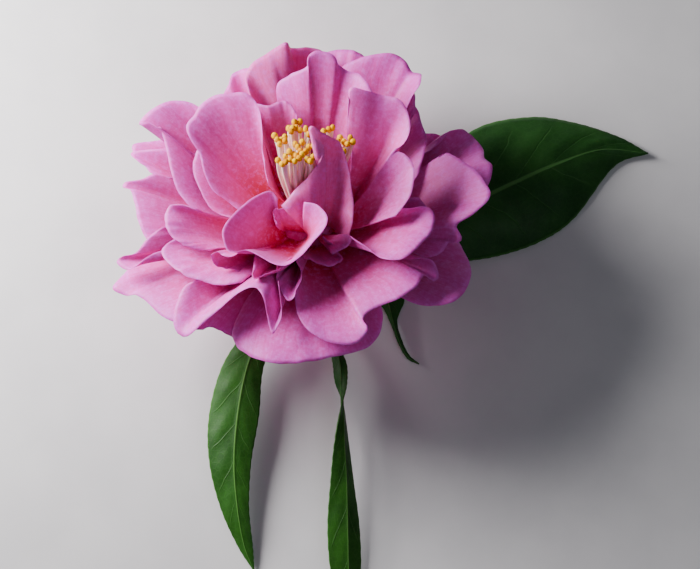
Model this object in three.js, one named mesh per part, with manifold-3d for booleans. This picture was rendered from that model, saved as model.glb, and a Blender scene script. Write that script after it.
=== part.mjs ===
// A camellia in full bloom, picked with a short twig and four leaves, lying on a flat surface.
// Millimetres, +Z up. The surface is z = 0, and the origin is the middle of the part's outline on it.
//
// The bloom is described in its own "face" frame, whose origin is the heart of the flower:
// x to the right, y up across the open face, z out of the face. The bloom's axis leans back from z.
import * as THREE from "three";
import { mergeVertices } from "three/addons/utils/BufferGeometryUtils.js";
import Module from "manifold-3d";

const wasm = await Module();
wasm.setup();

// ---- driving dimensions ----
const BLADE = 0.78; // thickness of every petal, sepal and leaf
const CLEARANCE = 0.3; // gap that separate pieces keep
const SLIVER = 0.1; // the thinnest detail kept where joined faces cross
const HEART_HEIGHT = 25; // the heart of the bloom above the surface
const HEART_X = -21.58; // the heart's place in the part's frame
const HEART_Y = 29.28;
const AXIS_LEAN = THREE.MathUtils.degToRad(45); // bloom's axis, from the face's z towards its y
const SURFACE_LEAN = THREE.MathUtils.degToRad(18); // the surface's normal, from the face's z towards its y

// Roots of the three rings of petals: distance from the axis and height above the heart.
const INNER = [6.2, 1];
const MIDDLE = [7.5, -1];
const OUTER = [8.5, -3];
const CLAW_SPREAD = THREE.MathUtils.degToRad(34); // half the arc that a petal's root takes up

const SIDE = new THREE.Vector3(1, 0, 0);
const BACK = new THREE.Vector3(0, Math.cos(AXIS_LEAN), -Math.sin(AXIS_LEAN));
const AXIS = new THREE.Vector3(0, Math.sin(AXIS_LEAN), Math.cos(AXIS_LEAN));
const UP = new THREE.Vector3(0, Math.sin(SURFACE_LEAN), Math.cos(SURFACE_LEAN));

// The block below the surface that flattens what rests on it.
const SLAB_SIZE = 400;
const SLAB_DEPTH = 20;

// Petals: the steps along a vein at which its points are set, and the outermost ring's form.
const VEIN_STEPS = [0, 0.38, 0.7, 1];
const NOTCH = 1.6; // depth of the notch in a guard petal's rim
const GUARD_WAVE = 1; // how far a guard petal's rim waves up and down

// Turned outlines, as [distance from the axis, height above the heart].
const RECEPTACLE = [[0, -5], [6.5, -5], [10.8, -3.6], [11.2, -1], [9.8, 2.2], [8, 3.6], [0, 3.6]];
const CALYX_CUP = [[0, -13.5], [2.6, -13.5], [3.4, -12.2], [6.4, -10.2], [7.6, -8], [7, -5.4], [0, -5.4]];
const STYLE_TOP = 25;
const PISTIL = [[0, 3.9], [1.9, 3.9], [2.1, 5.4], [1.6, 7], [0.7, 9], [0.5, 18], [0.5, STYLE_TOP], [0, STYLE_TOP]];

// Stamens: a brush on a short tube, the column, that stands on the receptacle round the pistil.
const STAMENS = 40;
const GOLDEN_ANGLE = Math.PI * (3 - Math.sqrt(5));
const BRUSH_RADIUS = 11.5;
const BRUSH_HEIGHT = 29;
const BRUSH_LEAN = 3; // how far the brush leans towards the back petals
const COLUMN_RADIUS = 5;
const COLUMN_BORE = 3.1;
const COLUMN_FOOT = 3.9;
const COLUMN_TOP = 9;
const ANTHER_LENGTH = 2.6;
const ANTHER_WIDTH = 1.8;

// Calyx and twig. The twig's route is a list of [x, y, lift above the surface].
const SEPALS = 6;
const TWIG = [[0, -9.76, 12.7], [0, -13.4, 8.1], [0.5, -19.5, 3.2], [0, -26, 2], [-0.5, -33, 2]];
const TWIG_RADIUS = 2;
const TWIG_NODES = [0.3, 0.47, 0.6, 0.74]; // where the leaves sit on it, as shares of its length

// Leaves.
const TOOTH_POINT = 0.7; // how far forward in its stretch of the edge each tooth has its point
const TOOTH_DEPTH = 0.8;
const LEAF_HALF_WIDTH = 18;
const BASE_HALF_WIDTH = 0.7;
const TIP_HALF_WIDTH = 0.25;
const RIB_DEPTH = 0.7;
const PETIOLE_RADIUS = 1.1;

// ---- points and curves ----

/** A point by its place across the face and its height above the heart along the bloom's axis. */
function facePoint([x, y, height]) {
  return new THREE.Vector3(x, y, (height - y * AXIS.y) / AXIS.z);
}

/** A point by its place across the face and its height above the surface. */
function surfacePoint([x, y, lift]) {
  return new THREE.Vector3(x, y, (lift - HEART_HEIGHT - y * UP.y) / UP.z);
}

/** A point round the bloom's axis: radius, angle from SIDE towards BACK, height above the heart. */
function ringPoint(radius, angle, height) {
  return new THREE.Vector3()
    .addScaledVector(SIDE, radius * Math.cos(angle))
    .addScaledVector(BACK, radius * Math.sin(angle))
    .addScaledVector(AXIS, height);
}

/** The share of the whole length, 0 to 1, at which each point of a chain lies. */
function chordShares(points) {
  const shares = [0];
  for (let i = 1; i < points.length; i++) {
    shares.push(shares[i - 1] + points[i].distanceTo(points[i - 1]));
  }
  return shares.map((share) => share / shares.at(-1));
}

/** Even shares, 0 to 1, for a number of points. */
function evenShares(count) {
  return Array.from({ length: count }, (_, i) => i / (count - 1));
}

/** Smooth curve through points that lie at the given knots: cubic Hermite pieces. */
function curveAt(points, knots, share) {
  const last = points.length - 1;
  const slope = (i) => {
    const low = Math.max(i - 1, 0);
    const high = Math.min(i + 1, last);
    return points[high].clone().sub(points[low]).divideScalar(knots[high] - knots[low]);
  };
  let k = 0;
  while (k < last - 1 && share >= knots[k + 1]) k++;
  const width = knots[k + 1] - knots[k];
  const s = (share - knots[k]) / width;
  return points[k].clone().multiplyScalar(2 * s ** 3 - 3 * s ** 2 + 1)
    .addScaledVector(points[k + 1], -2 * s ** 3 + 3 * s ** 2)
    .addScaledVector(slope(k), (s ** 3 - 2 * s ** 2 + s) * width)
    .addScaledVector(slope(k + 1), (s ** 3 - s ** 2) * width);
}

/** Cubic Bezier point. */
function bezier(a, b, c, d, t) {
  const r = 1 - t;
  return a.clone().multiplyScalar(r ** 3)
    .addScaledVector(b, 3 * r * r * t)
    .addScaledVector(c, 3 * r * t * t)
    .addScaledVector(d, t ** 3);
}

// ---- solids ----

/** A closed solid from vertices (Vector3) and triangles (index triples). */
function solid(vertices, triangles) {
  const vertProperties = new Float32Array(vertices.flatMap((p) => [p.x, p.y, p.z]));
  const triVerts = new Uint32Array(triangles.flat());
  const made = new wasm.Manifold(new wasm.Mesh({ numProp: 3, vertProperties, triVerts }));
  if (made.volume() >= 0) return made;
  const turned = new Uint32Array(triangles.flatMap(([a, b, c]) => [a, c, b]));
  return new wasm.Manifold(new wasm.Mesh({ numProp: 3, vertProperties, triVerts: turned }));
}

/**
 * A blade from a grid of points on its middle surface: both faces stand off along the normals and have
 * the same diagonals. `thickness(i, j)` gives the stand-off of the front and back faces at a grid point.
 */
function blade(grid, thickness) {
  const rows = grid.length;
  const columns = grid[0].length;
  const faces = [[], []];
  for (let i = 0; i < rows; i++) {
    for (let j = 0; j < columns; j++) {
      const along = grid[Math.min(i + 1, rows - 1)][j].clone().sub(grid[Math.max(i - 1, 0)][j]);
      const across = grid[i][Math.min(j + 1, columns - 1)].clone().sub(grid[i][Math.max(j - 1, 0)]);
      const normal = along.cross(across).normalize();
      const [front, back] = thickness(i, j);
      faces[0].push(grid[i][j].clone().addScaledVector(normal, front));
      faces[1].push(grid[i][j].clone().addScaledVector(normal, -back));
    }
  }
  const count = rows * columns;
  const at = (i, j) => i * columns + j;
  const triangles = [];
  for (let i = 0; i < rows - 1; i++) {
    for (let j = 0; j < columns - 1; j++) {
      const [a, b, c, d] = [at(i, j), at(i + 1, j), at(i + 1, j + 1), at(i, j + 1)];
      triangles.push([a, b, c], [a, c, d]);
      triangles.push([a + count, c + count, b + count], [a + count, d + count, c + count]);
    }
  }
  const border = [];
  for (let j = 0; j < columns - 1; j++) border.push(at(0, j));
  for (let i = 0; i < rows - 1; i++) border.push(at(i, columns - 1));
  for (let j = columns - 1; j > 0; j--) border.push(at(rows - 1, j));
  for (let i = rows - 1; i > 0; i--) border.push(at(i, 0));
  border.forEach((a, i) => {
    const b = border[(i + 1) % border.length];
    triangles.push([a, b, b + count], [a, b + count, a + count]);
  });
  return solid([...faces[0], ...faces[1]], triangles);
}

/** A round rod along a chain of points, with a radius at each and flat ends. */
function rod(points, radii, sides) {
  const vertices = [];
  const triangles = [];
  let reference = new THREE.Vector3(0.31, 0.24, 0.92);
  points.forEach((point, i) => {
    const tangent = points[Math.min(i + 1, points.length - 1)].clone()
      .sub(points[Math.max(i - 1, 0)]).normalize();
    const first = reference.clone().addScaledVector(tangent, -reference.dot(tangent)).normalize();
    const second = tangent.clone().cross(first);
    reference = first;
    for (let s = 0; s < sides; s++) {
      const turn = (2 * Math.PI * s) / sides;
      vertices.push(point.clone()
        .addScaledVector(first, radii[i] * Math.cos(turn))
        .addScaledVector(second, radii[i] * Math.sin(turn)));
    }
  });
  for (let i = 0; i < points.length - 1; i++) {
    for (let s = 0; s < sides; s++) {
      const t = (s + 1) % sides;
      const [a, b, c, d] = [i * sides + s, i * sides + t, (i + 1) * sides + t, (i + 1) * sides + s];
      triangles.push([a, b, c], [a, c, d]);
    }
  }
  const end = (points.length - 1) * sides;
  for (let s = 1; s < sides - 1; s++) {
    triangles.push([0, s + 1, s], [end, end + s, end + s + 1]);
  }
  return solid(vertices, triangles);
}

/** A solid turned round the bloom's axis from a closed outline of [radius, height] points. */
function turned(outline, sides) {
  const profile = outline.map(([radius, height]) => new THREE.Vector2(radius, height));
  if (outline[0][0] > 0) profile.push(profile[0].clone());
  const lathe = new THREE.LatheGeometry(profile, sides);
  const onAxis = new THREE.Quaternion().setFromUnitVectors(new THREE.Vector3(0, 1, 0), AXIS);
  lathe.applyQuaternion(onAxis);
  return fromGeometry(lathe);
}

/** A closed solid from a three.js geometry, its shared vertices merged. */
function fromGeometry(geometry) {
  geometry.deleteAttribute("normal");
  geometry.deleteAttribute("uv");
  const merged = mergeVertices(geometry, 1e-4);
  const position = merged.getAttribute("position");
  const vertices = [];
  for (let i = 0; i < position.count; i++) {
    vertices.push(new THREE.Vector3().fromBufferAttribute(position, i));
  }
  const triangles = [];
  for (let i = 0; i < merged.index.count; i += 3) {
    const [a, b, c] = [0, 1, 2].map((corner) => merged.index.getX(i + corner));
    if (a !== b && b !== c && a !== c) triangles.push([a, b, c]);
  }
  return solid(vertices, triangles);
}

/** The one main body of a shape: loose scraps go, and sealed hollows are filled. */
function mainBody(shape) {
  return shape.decompose().reduce((best, piece) => (piece.volume() > best.volume() ? piece : best));
}

/** Joins solids into one body. Slivers thinner than SLIVER, left where faces cross, are closed up. */
function join(solids) {
  return mainBody(mainBody(wasm.Manifold.union(solids)).simplify(SLIVER));
}

/** Flattens what would sink into the surface, so that the piece rests on small flat spots. */
function rested(shape) {
  const slab = new THREE.BoxGeometry(SLAB_SIZE, SLAB_SIZE, SLAB_DEPTH);
  slab.rotateX(-SURFACE_LEAN);
  slab.translate(...UP.clone().multiplyScalar(-HEART_HEIGHT - SLAB_DEPTH / 2));
  return mainBody(shape.subtract(fromGeometry(slab)));
}

/** A named mesh of a solid, as it rests. */
function mesh(name, shape, color, roughness) {
  const { vertProperties, triVerts } = rested(shape).getMesh();
  const geometry = new THREE.BufferGeometry();
  geometry.setAttribute("position", new THREE.BufferAttribute(vertProperties, 3));
  geometry.setIndex(new THREE.BufferAttribute(triVerts, 1));
  geometry.computeVertexNormals();
  const material = new THREE.MeshStandardMaterial({ color, roughness, metalness: 0, flatShading: true });
  const made = new THREE.Mesh(geometry, material);
  made.name = name;
  return made;
}

// ---- petals ----

/**
 * A petal by its rim: the points [x, y, height] that its edge passes through.
 * ring: where it is rooted. cup and brow: how far the veins belly outward at a third and at seven tenths
 * of their way, as shares of their length. azimuth: where it is rooted, in degrees, if not behind its rim.
 */
function petal(name, ring, cup, brow, rim, azimuth) {
  return { name, ring, cup, brow, rim, azimuth };
}

/** A guard petal of the outermost ring: an even, notched rim round an angle, in degrees. */
function guard(name, azimuth, reach, height, halfWidth) {
  const rim = [];
  for (const t of [-1, -0.7, -0.3, 0, 0.3, 0.7, 1]) {
    const angle = THREE.MathUtils.degToRad(azimuth + halfWidth * t);
    const radius = reach * (1 - 0.2 * Math.abs(t) ** 3) - (t === 0 ? NOTCH : 0);
    const rise = height + GUARD_WAVE * Math.sin(4 * t);
    rim.push([radius * Math.cos(angle), (radius * Math.sin(angle) + rise) * AXIS.y, rise]);
  }
  return petal(name, OUTER, 0.05, -0.03, rim, azimuth);
}

/** The grid of points of a petal's middle surface: a vein to each point of the rim. */
function petalGrid({ ring: [rootRadius, rootHeight], cup, brow, rim, azimuth }) {
  const edge = rim.map(facePoint);
  const angleOf = (p) => Math.atan2(p.dot(BACK), p.dot(SIDE));
  const middle = edge.reduce((sum, p) => sum.add(p), new THREE.Vector3()).divideScalar(edge.length);
  const angle = azimuth === undefined ? angleOf(middle) : THREE.MathUtils.degToRad(azimuth);
  const direction = Math.sign(Math.sin(angleOf(edge.at(-1)) - angleOf(edge[0])));
  const radial = ringPoint(1, angle, 0);
  return chordShares(edge).map((share, i) => {
    const root = ringPoint(rootRadius, angle + CLAW_SPREAD * (2 * share - 1) * direction, rootHeight);
    const vein = edge[i].clone().sub(root);
    const outward = radial.clone().multiplyScalar(vein.dot(AXIS)).addScaledVector(AXIS, -vein.dot(radial));
    outward.setLength(vein.length());
    const low = root.clone().addScaledVector(vein, 0.33).addScaledVector(outward, cup);
    const high = root.clone().addScaledVector(vein, 0.7).addScaledVector(outward, brow);
    return VEIN_STEPS.map((t) => bezier(root, low, high, edge[i], t));
  });
}

const PETALS = [
  petal("back_left_folded", MIDDLE, 0.16, 0.02, [[-13.5, 26, 24], [-15, 35, 29], [-16.5, 45, 34],
    [-11, 50, 36], [-6.5, 52.6, 38], [-4.6, 51.2, 34], [0, 51.8, 32], [4.5, 50.3, 30], [8, 44, 28]]),
  petal("back_left_small", OUTER, 0.18, 0, [[-21, 28, 19], [-25, 36.5, 22], [-23.2, 41, 24],
    [-22.4, 43.8, 25], [-20, 45.3, 26], [-17, 45, 27], [-12, 41, 26]]),
  petal("back_left_behind", OUTER, 0.2, 0, [[-22, 34, 14], [-21, 42, 17], [-18.5, 46.3, 20],
    [-15.5, 47, 21], [-10, 46, 21], [-5, 40, 19]]),
  petal("back_centre", INNER, 0.14, 0.03, [[-8, 31, 22], [-9.3, 39.5, 30], [-5, 42.8, 35], [0, 45, 39],
    [0.9, 48.6, 42], [4.5, 49.2, 42.5], [8.3, 47, 41], [10.6, 44, 37], [14.5, 42.6, 37], [17.6, 39.5, 36],
    [20, 34, 32]]),
  petal("back_behind", MIDDLE, 0.18, 0, [[-2, 42, 22], [3, 49.5, 27], [8, 51.3, 28], [13, 51.2, 28],
    [16.8, 49.2, 27], [21, 45, 26], [24, 38, 23]]),
  petal("back_right_bright", MIDDLE, 0.14, -0.02, [[8, 39, 26], [10, 45.6, 30], [14, 47.8, 32],
    [20, 49.5, 33], [25.5, 49.4, 33], [29, 46.8, 31.5], [30.6, 44.2, 30], [32.6, 43.6, 32],
    [32.3, 40.8, 32], [29.5, 36, 30], [26, 29, 26]]),
  petal("right_pink_behind", MIDDLE, 0.16, 0, [[24, 26, 18], [29.5, 30, 21], [31.3, 34.5, 23],
    [31, 38, 25], [27, 39, 25]]),
  petal("right_dark_behind", OUTER, 0.2, 0, [[28, 40, 20], [32, 33.5, 19], [33.8, 26.5, 18],
    [34.1, 21.5, 17], [32.5, 15, 14], [28, 8, 10]]),
  petal("right_far_behind", OUTER, 0.15, 0, [[26, 33, 9], [33, 27, 10], [38, 26.3, 9], [41.5, 24, 7],
    [43, 18, 4], [38, 8, 1]]),
  petal("right_upper", OUTER, 0.12, -0.03, [[36, 21, 10], [40.5, 25.3, 11], [43.8, 28, 12],
    [48.5, 25.7, 12], [51.3, 21.8, 12], [51.8, 18.8, 13.2], [53.9, 16.3, 14], [53.3, 12.6, 13],
    [50, 8, 11], [44, 3, 8]]),
  petal("right_large", MIDDLE, 0.14, 0, [[30, 15, 13], [36, 19, 17], [40, 20.3, 18], [44, 18.3, 18],
    [48.3, 15.3, 18], [51.5, 10.8, 18], [52.9, 7.4, 17.5], [49, 3.7, 16], [44.5, 0.8, 14],
    [42.5, -1.5, 12], [44, -5, 10], [40.5, -5.4, 9.5], [38.8, -8, 8], [35, -9.5, 7], [29, -8.3, 6]]),
  petal("right_lower", OUTER, 0.05, -0.03, [[41, 1, 0], [44.5, -6, 0], [46.9, -11, 0], [47.4, -15, 0],
    [45.3, -20, 0], [41.8, -23, 0.5], [36, -23.4, 1], [30, -22.4, 2], [23, -19, 3]]),
  petal("right_tucked", MIDDLE, 0.16, 0, [[22, 1, 13], [27, 4, 15], [31.8, 6.3, 16], [34, 4, 16],
    [35, -1, 14], [33, -5, 12]]),
  petal("right_front_bright", INNER, 0.12, -0.05, [[7, -9.4, 9], [11.2, -6.8, 11], [12.5, -4, 13],
    [16, -6, 13], [20, -10, 13], [24, -11.3, 13.5], [28, -10.5, 14], [32, -6.3, 15], [35.8, -1.2, 16],
    [35.6, 2.4, 17], [30, 3, 17], [23, 2.5, 14]], -38),
  petal("right_tall", INNER, 0.10, 0.05, [[12.9, 4, 14], [13.3, 14, 22], [14, 25, 32], [13.1, 32, 38],
    [11.2, 36, 41], [12.6, 38.1, 42.5], [17, 37.1, 41], [22, 35.9, 39], [26.5, 34.8, 39], [28.9, 31, 36],
    [29.1, 26, 33], [27, 22, 30], [24.2, 20.2, 28], [27.5, 19.3, 28], [30.2, 16, 26.5], [30.4, 11, 24],
    [28.8, 6.5, 21], [25, 1.5, 17]], -8),
  petal("centre_hood", INNER, 0.10, 0.03, [[-6.5, 3, 15.5], [-2.5, 8.5, 21], [1, 12.5, 26],
    [3.8, 17, 31], [4.9, 21, 35.5], [2.3, 23.2, 38], [0.6, 26, 40], [1.6, 27, 41.5], [4, 25.4, 39.5],
    [6.6, 24, 37], [9, 23, 36], [10.8, 20, 33.5], [11.7, 14, 28], [12.1, 7, 21], [12.3, 0, 13]], -55),
  petal("left_front_large", INNER, 0.12, 0, [[-19.5, 3.5, 10], [-23, 6, 12], [-27, 9, 15],
    [-29.7, 14, 19], [-31, 20, 23], [-34, 25, 27], [-34.7, 28, 29], [-32.4, 30.6, 30.5], [-31, 33.3, 32],
    [-27.3, 36, 34], [-22, 36.6, 35], [-18.3, 36.9, 35.5], [-15.8, 33.5, 33], [-14.2, 27, 29],
    [-13.8, 19, 23], [-12, 11, 17]]),
  petal("left_back_inner", INNER, 0.16, 0, [[-17, 29, 25], [-15.3, 34, 28.5], [-11.5, 33.5, 29],
    [-7, 34.8, 30], [-4, 31.8, 28], [-1.5, 27, 24]]),
  petal("left_rolled", MIDDLE, 0.16, 0, [[-29, 1.5, 7], [-34, 4.5, 10], [-37.5, 9, 13], [-39.6, 15, 17],
    [-41, 22, 21], [-42.3, 26.2, 23.5], [-46.5, 26.5, 23], [-49, 29, 24], [-47.5, 31, 26],
    [-43, 34.3, 28], [-39, 35.2, 29], [-34.5, 34.2, 30], [-31, 32, 30], [-27, 26, 26]]),
  petal("left_inner_glow", INNER, 0.16, 0, [[-23, 1, 7], [-28.5, 5, 10], [-31.7, 11, 14],
    [-32.9, 17, 18], [-31.5, 21, 21], [-27, 24, 22]]),
  petal("left_strip", MIDDLE, 0.1, 0, [[-37, 20, 13], [-44, 21.3, 14], [-51.3, 21, 13.5],
    [-51.3, 23, 14.5], [-45, 23.9, 15], [-40, 25.5, 15.5], [-34, 26, 15]]),
  petal("left_ruffled", MIDDLE, 0.12, 0, [[-34, 5, 8], [-41, 10.5, 11], [-45.2, 14.3, 13],
    [-47.2, 17, 14], [-50, 18.7, 14.5], [-51.8, 20.3, 14.5], [-48, 20.7, 15.5], [-44, 21.1, 16.5],
    [-38, 21.5, 17], [-32, 19, 15]]),
  petal("left_middle", OUTER, 0.1, -0.02, [[-38, -8, 3], [-45.5, -5.6, 5], [-48.6, -1, 7], [-50, 4, 9],
    [-51.6, 9, 11], [-54.1, 10, 11], [-53.2, 11.7, 12], [-48, 12.5, 13], [-44.5, 14, 14],
    [-39, 12.5, 14], [-33, 8, 12]]),
  petal("left_low_lit", MIDDLE, 0.14, 0, [[-28, -8, 6], [-35, -6.6, 8], [-39, -3.5, 10],
    [-40.6, 0.5, 12], [-40, 3.5, 13], [-37, 3.9, 14], [-32, 2.3, 14]]),
  petal("left_tongue", OUTER, 0.1, -0.04, [[-33, -9.5, 4], [-42, -9.2, 4], [-48.5, -11.9, 3],
    [-52.5, -13.3, 2], [-55, -11.7, 2], [-53, -10.5, 3], [-49.8, -9.6, 4], [-46, -5, 7],
    [-42.5, -2.8, 8], [-39, -2.5, 8.5], [-37.6, -5, 8]]),
  petal("left_shaded", MIDDLE, 0.1, 0, [[-36, -4.5, 8], [-41, -7, 6.5], [-41.9, -9, 6], [-39.7, -12, 5],
    [-35.5, -14.6, 5], [-30, -16.1, 5], [-23, -16.9, 6], [-16, -17.2, 7], [-10, -14, 7]]),
  petal("low_left_large", OUTER, 0.02, -0.06, [[-42, -5, -1], [-49, -10, -3], [-53, -14.5, -4],
    [-56.5, -19, -5], [-53, -21, -5], [-49.5, -21.1, -4], [-45.5, -23.8, -4], [-41.5, -27.2, -4],
    [-37, -28.8, -4], [-31, -27, -3], [-25, -22, -1]]),
  petal("arched", OUTER, 0.02, -0.06, [[-27, -13, 4], [-32.5, -17, 3], [-36, -22, 1], [-37.7, -28, -2],
    [-36.4, -31.9, -4], [-32, -28.8, 0], [-26, -24.7, 3], [-20, -20, 6], [-14.5, -18.7, 8],
    [-12.2, -21.5, 7], [-11.4, -27, 3], [-9.6, -32.3, 0], [-7.7, -28, 2], [-7.6, -24.5, 4],
    [-9, -18, 6]]),
  petal("low_left_behind", OUTER, 0, -0.05, [[-38, -23, -9], [-36, -28, -9], [-33.3, -30.5, -9],
    [-30, -31.1, -9], [-27.5, -30.4, -9], [-24, -31.8, -9], [-19, -34, -9], [-13, -32, -8]]),
  petal("bottom", OUTER, 0, -0.06, [[-20, -26, -7], [-22, -31, -8], [-20.8, -35, -8],
    [-16.5, -38.3, -8], [-11, -40.3, -8], [-4, -40.7, -8], [4, -39.7, -8], [12, -37.9, -8],
    [17.5, -36, -8], [20.8, -32.3, -7], [22, -27, -6], [20, -21, -4]]),
  petal("low_right_large", MIDDLE, 0.05, -0.04, [[-4, -20, 3], [-2, -28, 0], [0.5, -31.3, -1],
    [5, -33.8, -2], [11, -34.9, -2], [15.3, -33.4, -1], [16.6, -31, 0], [15.4, -28.8, 3], [17, -26, 4],
    [20.5, -24, 5], [26, -22.2, 6], [30.7, -18.7, 7], [33.6, -14.7, 8], [37.2, -16.3, 6],
    [36.2, -13, 8], [34.3, -11.6, 9], [28, -11, 9]]),
  petal("front_cup", INNER, 0.22, 0.10, [[-8.8, 6, 17], [-10.5, 8.2, 19], [-14, 6.9, 19],
    [-18, 3.9, 18], [-21.8, 0, 17], [-23.6, -3.8, 15.5], [-22, -8.4, 14], [-17, -7.7, 14.5],
    [-12, -10, 14], [-6.5, -11.8, 14], [-2.8, -9.3, 14.5], [1, -5.2, 16], [4.6, -1, 18], [5, 1.4, 19],
    [2.5, 4.2, 19.5], [-1, 5.2, 19]]),
  petal("front_cup_inner", INNER, 0.18, 0.06, [[-9.5, -1, 11], [-9.7, 3.3, 14], [-5, 4.7, 15.5],
    [-1, 5.3, 16.5], [2, 3, 16]]),
  petal("front_lip", MIDDLE, 0.12, 0.03, [[-22, -16, 7], [-26.5, -14, 8.5], [-27.5, -9.7, 10.5],
    [-25.5, -8.7, 11.5], [-22.5, -9.7, 11.5], [-18, -8.3, 12], [-13, -9, 12]]),
  petal("front_pale", MIDDLE, 0.1, 0.05, [[-14.2, -8, 11], [-14.7, -13, 10], [-15.2, -17.1, 8.5],
    [-11.5, -16.3, 8.5], [-7.5, -14.4, 9], [-4, -11, 10]]),
  petal("front_shaded_small", MIDDLE, 0.08, 0.03, [[-8, -12, 8], [-8.3, -17, 6], [-7, -20.7, 5],
    [-5, -22.7, 4.5], [-3, -19.7, 5], [-2.3, -15, 6.5], [-3.5, -11, 8]]),
  petal("front_shaded_point", MIDDLE, 0.1, 0.03, [[-1, -10, 8], [4, -12.1, 7], [9.8, -11, 7],
    [8, -8, 8], [4, -5, 9]]),
  guard("rear_right_low", 8, 44, 1, 24),
  guard("rear_right", 38, 47, 0, 22),
  guard("rear_resting_right", 70, 52.5, -3.6, 22),
  guard("rear_resting_left", 106, 52.5, -3, 21),
  guard("rear_left", 138, 47, 1, 22),
  guard("rear_left_low", 168, 44, 2, 20),
];

/** All the petals on their receptacle, as one solid; `thickness` lets the same petals test for room. */
function corolla(thickness) {
  const half = thickness / 2;
  const receptacle = turned(RECEPTACLE, 14);
  return join([receptacle, ...PETALS.map((one) => blade(petalGrid(one), () => [half, half]))]);
}

// ---- stamens and pistil ----

/** The path of one stamen's filament: up from the column, then leaning out to its own place in the brush. */
function filamentPath(index) {
  const angle = index * GOLDEN_ANGLE;
  const share = Math.sqrt((index + 0.5) / STAMENS);
  const radius = BRUSH_RADIUS * (0.3 + 0.7 * share);
  const height = BRUSH_HEIGHT - 5 * share ** 2 + 1.5 * Math.sin(2.4 * index);
  const tip = ringPoint(radius, angle, height).addScaledVector(BACK, BRUSH_LEAN);
  const root = ringPoint(COLUMN_RADIUS - 0.9, angle, 6);
  const low = ringPoint(COLUMN_RADIUS - 0.6, angle, 0.45 * height);
  const high = ringPoint(0.8 * radius, angle, 0.75 * height).addScaledVector(BACK, 0.5 * BRUSH_LEAN);
  return evenShares(4).map((t) => bezier(root, low, high, tip, t));
}

/** One stamen: a three-sided filament with a plump anther on its end. */
function stamen(index) {
  const path = filamentPath(index);
  const tip = path.at(-1);
  const along = tip.clone().sub(path.at(-2)).normalize();
  const across = new THREE.Vector3(Math.sin(index), Math.cos(index), 0.3);
  across.addScaledVector(along, -across.dot(along)).normalize();
  const third = along.clone().cross(across);
  const corners = [
    tip.clone().addScaledVector(along, ANTHER_LENGTH / 2),
    tip.clone().addScaledVector(along, -ANTHER_LENGTH / 2),
  ];
  for (let s = 0; s < 5; s++) {
    const turn = (2 * Math.PI * s) / 5;
    corners.push(tip.clone()
      .addScaledVector(across, (ANTHER_WIDTH / 2) * Math.cos(turn))
      .addScaledVector(third, (ANTHER_WIDTH / 2) * Math.sin(turn)));
  }
  const triangles = [];
  for (let s = 0; s < 5; s++) {
    const [a, b] = [2 + s, 2 + ((s + 1) % 5)];
    triangles.push([0, a, b], [1, b, a]);
  }
  return wasm.Manifold.union([rod(path, [0.5, 0.42, 0.36, 0.3], 3), solid(corners, triangles)]);
}

/** The brush of stamens on the column that they grow from, without those that have no room. */
function stamenBrush(room) {
  const column = turned([
    [COLUMN_BORE, COLUMN_FOOT], [COLUMN_RADIUS, COLUMN_FOOT],
    [COLUMN_RADIUS - 0.4, COLUMN_TOP], [COLUMN_BORE, COLUMN_TOP],
  ], 12);
  const brush = [column];
  for (let index = 0; index < STAMENS; index++) {
    const one = stamen(index);
    if (one.intersect(room).isEmpty()) brush.push(one);
  }
  return join(brush);
}

/** The pistil: an ovary with one style that parts into three lobes at its end. */
function pistil() {
  const parts = [turned(PISTIL, 7)];
  for (let lobe = 0; lobe < 3; lobe++) {
    const angle = THREE.MathUtils.degToRad(90 + 120 * lobe);
    parts.push(rod([
      ringPoint(0.1, angle, STYLE_TOP - 1.5),
      ringPoint(0.9, angle, STYLE_TOP + 0.6),
      ringPoint(2.1, angle, STYLE_TOP + 1.8),
    ], [0.5, 0.45, 0.4], 4));
  }
  return join(parts);
}

// ---- calyx and twig ----

/** The calyx: overlapping rounded sepals on a small cup, just under the petals. */
function calyx() {
  const parts = [turned(CALYX_CUP, 12)];
  for (let index = 0; index < SEPALS; index++) {
    const angle = index * GOLDEN_ANGLE;
    const layer = index / (SEPALS - 1);
    const grid = [-1, -0.4, 0.4, 1].map((across) => {
      const spread = angle + 0.62 * across;
      const tip = 1 - 0.25 * across ** 2;
      return [
        ringPoint(3, angle + 0.9 * across, -12.2),
        ringPoint(8.2 - 0.6 * layer, spread, -10.4 + 1.2 * layer),
        ringPoint((11.2 - 1.2 * layer) * (0.9 + 0.1 * tip), spread, -8.6 + 2.6 * tip - 1.2 * layer),
      ];
    });
    parts.push(blade(grid, () => [BLADE / 2, BLADE / 2]));
  }
  return join(parts);
}

/** The twig: it bends down from the calyx, lies along the surface and ends in a clean cut. */
function twig() {
  const path = TWIG.map(surfacePoint);
  const knots = chordShares(path);
  const points = evenShares(15).map((share) => curveAt(path, knots, share));
  const radii = evenShares(15).map((share) => {
    const swelling = TWIG_NODES.reduce((sum, at) => sum + Math.exp(-(((share - at) / 0.035) ** 2)), 0);
    return TWIG_RADIUS * (0.92 + 0.08 * share) + 0.35 * swelling;
  });
  return rod(points, radii, 8);
}

// ---- leaves ----

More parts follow.
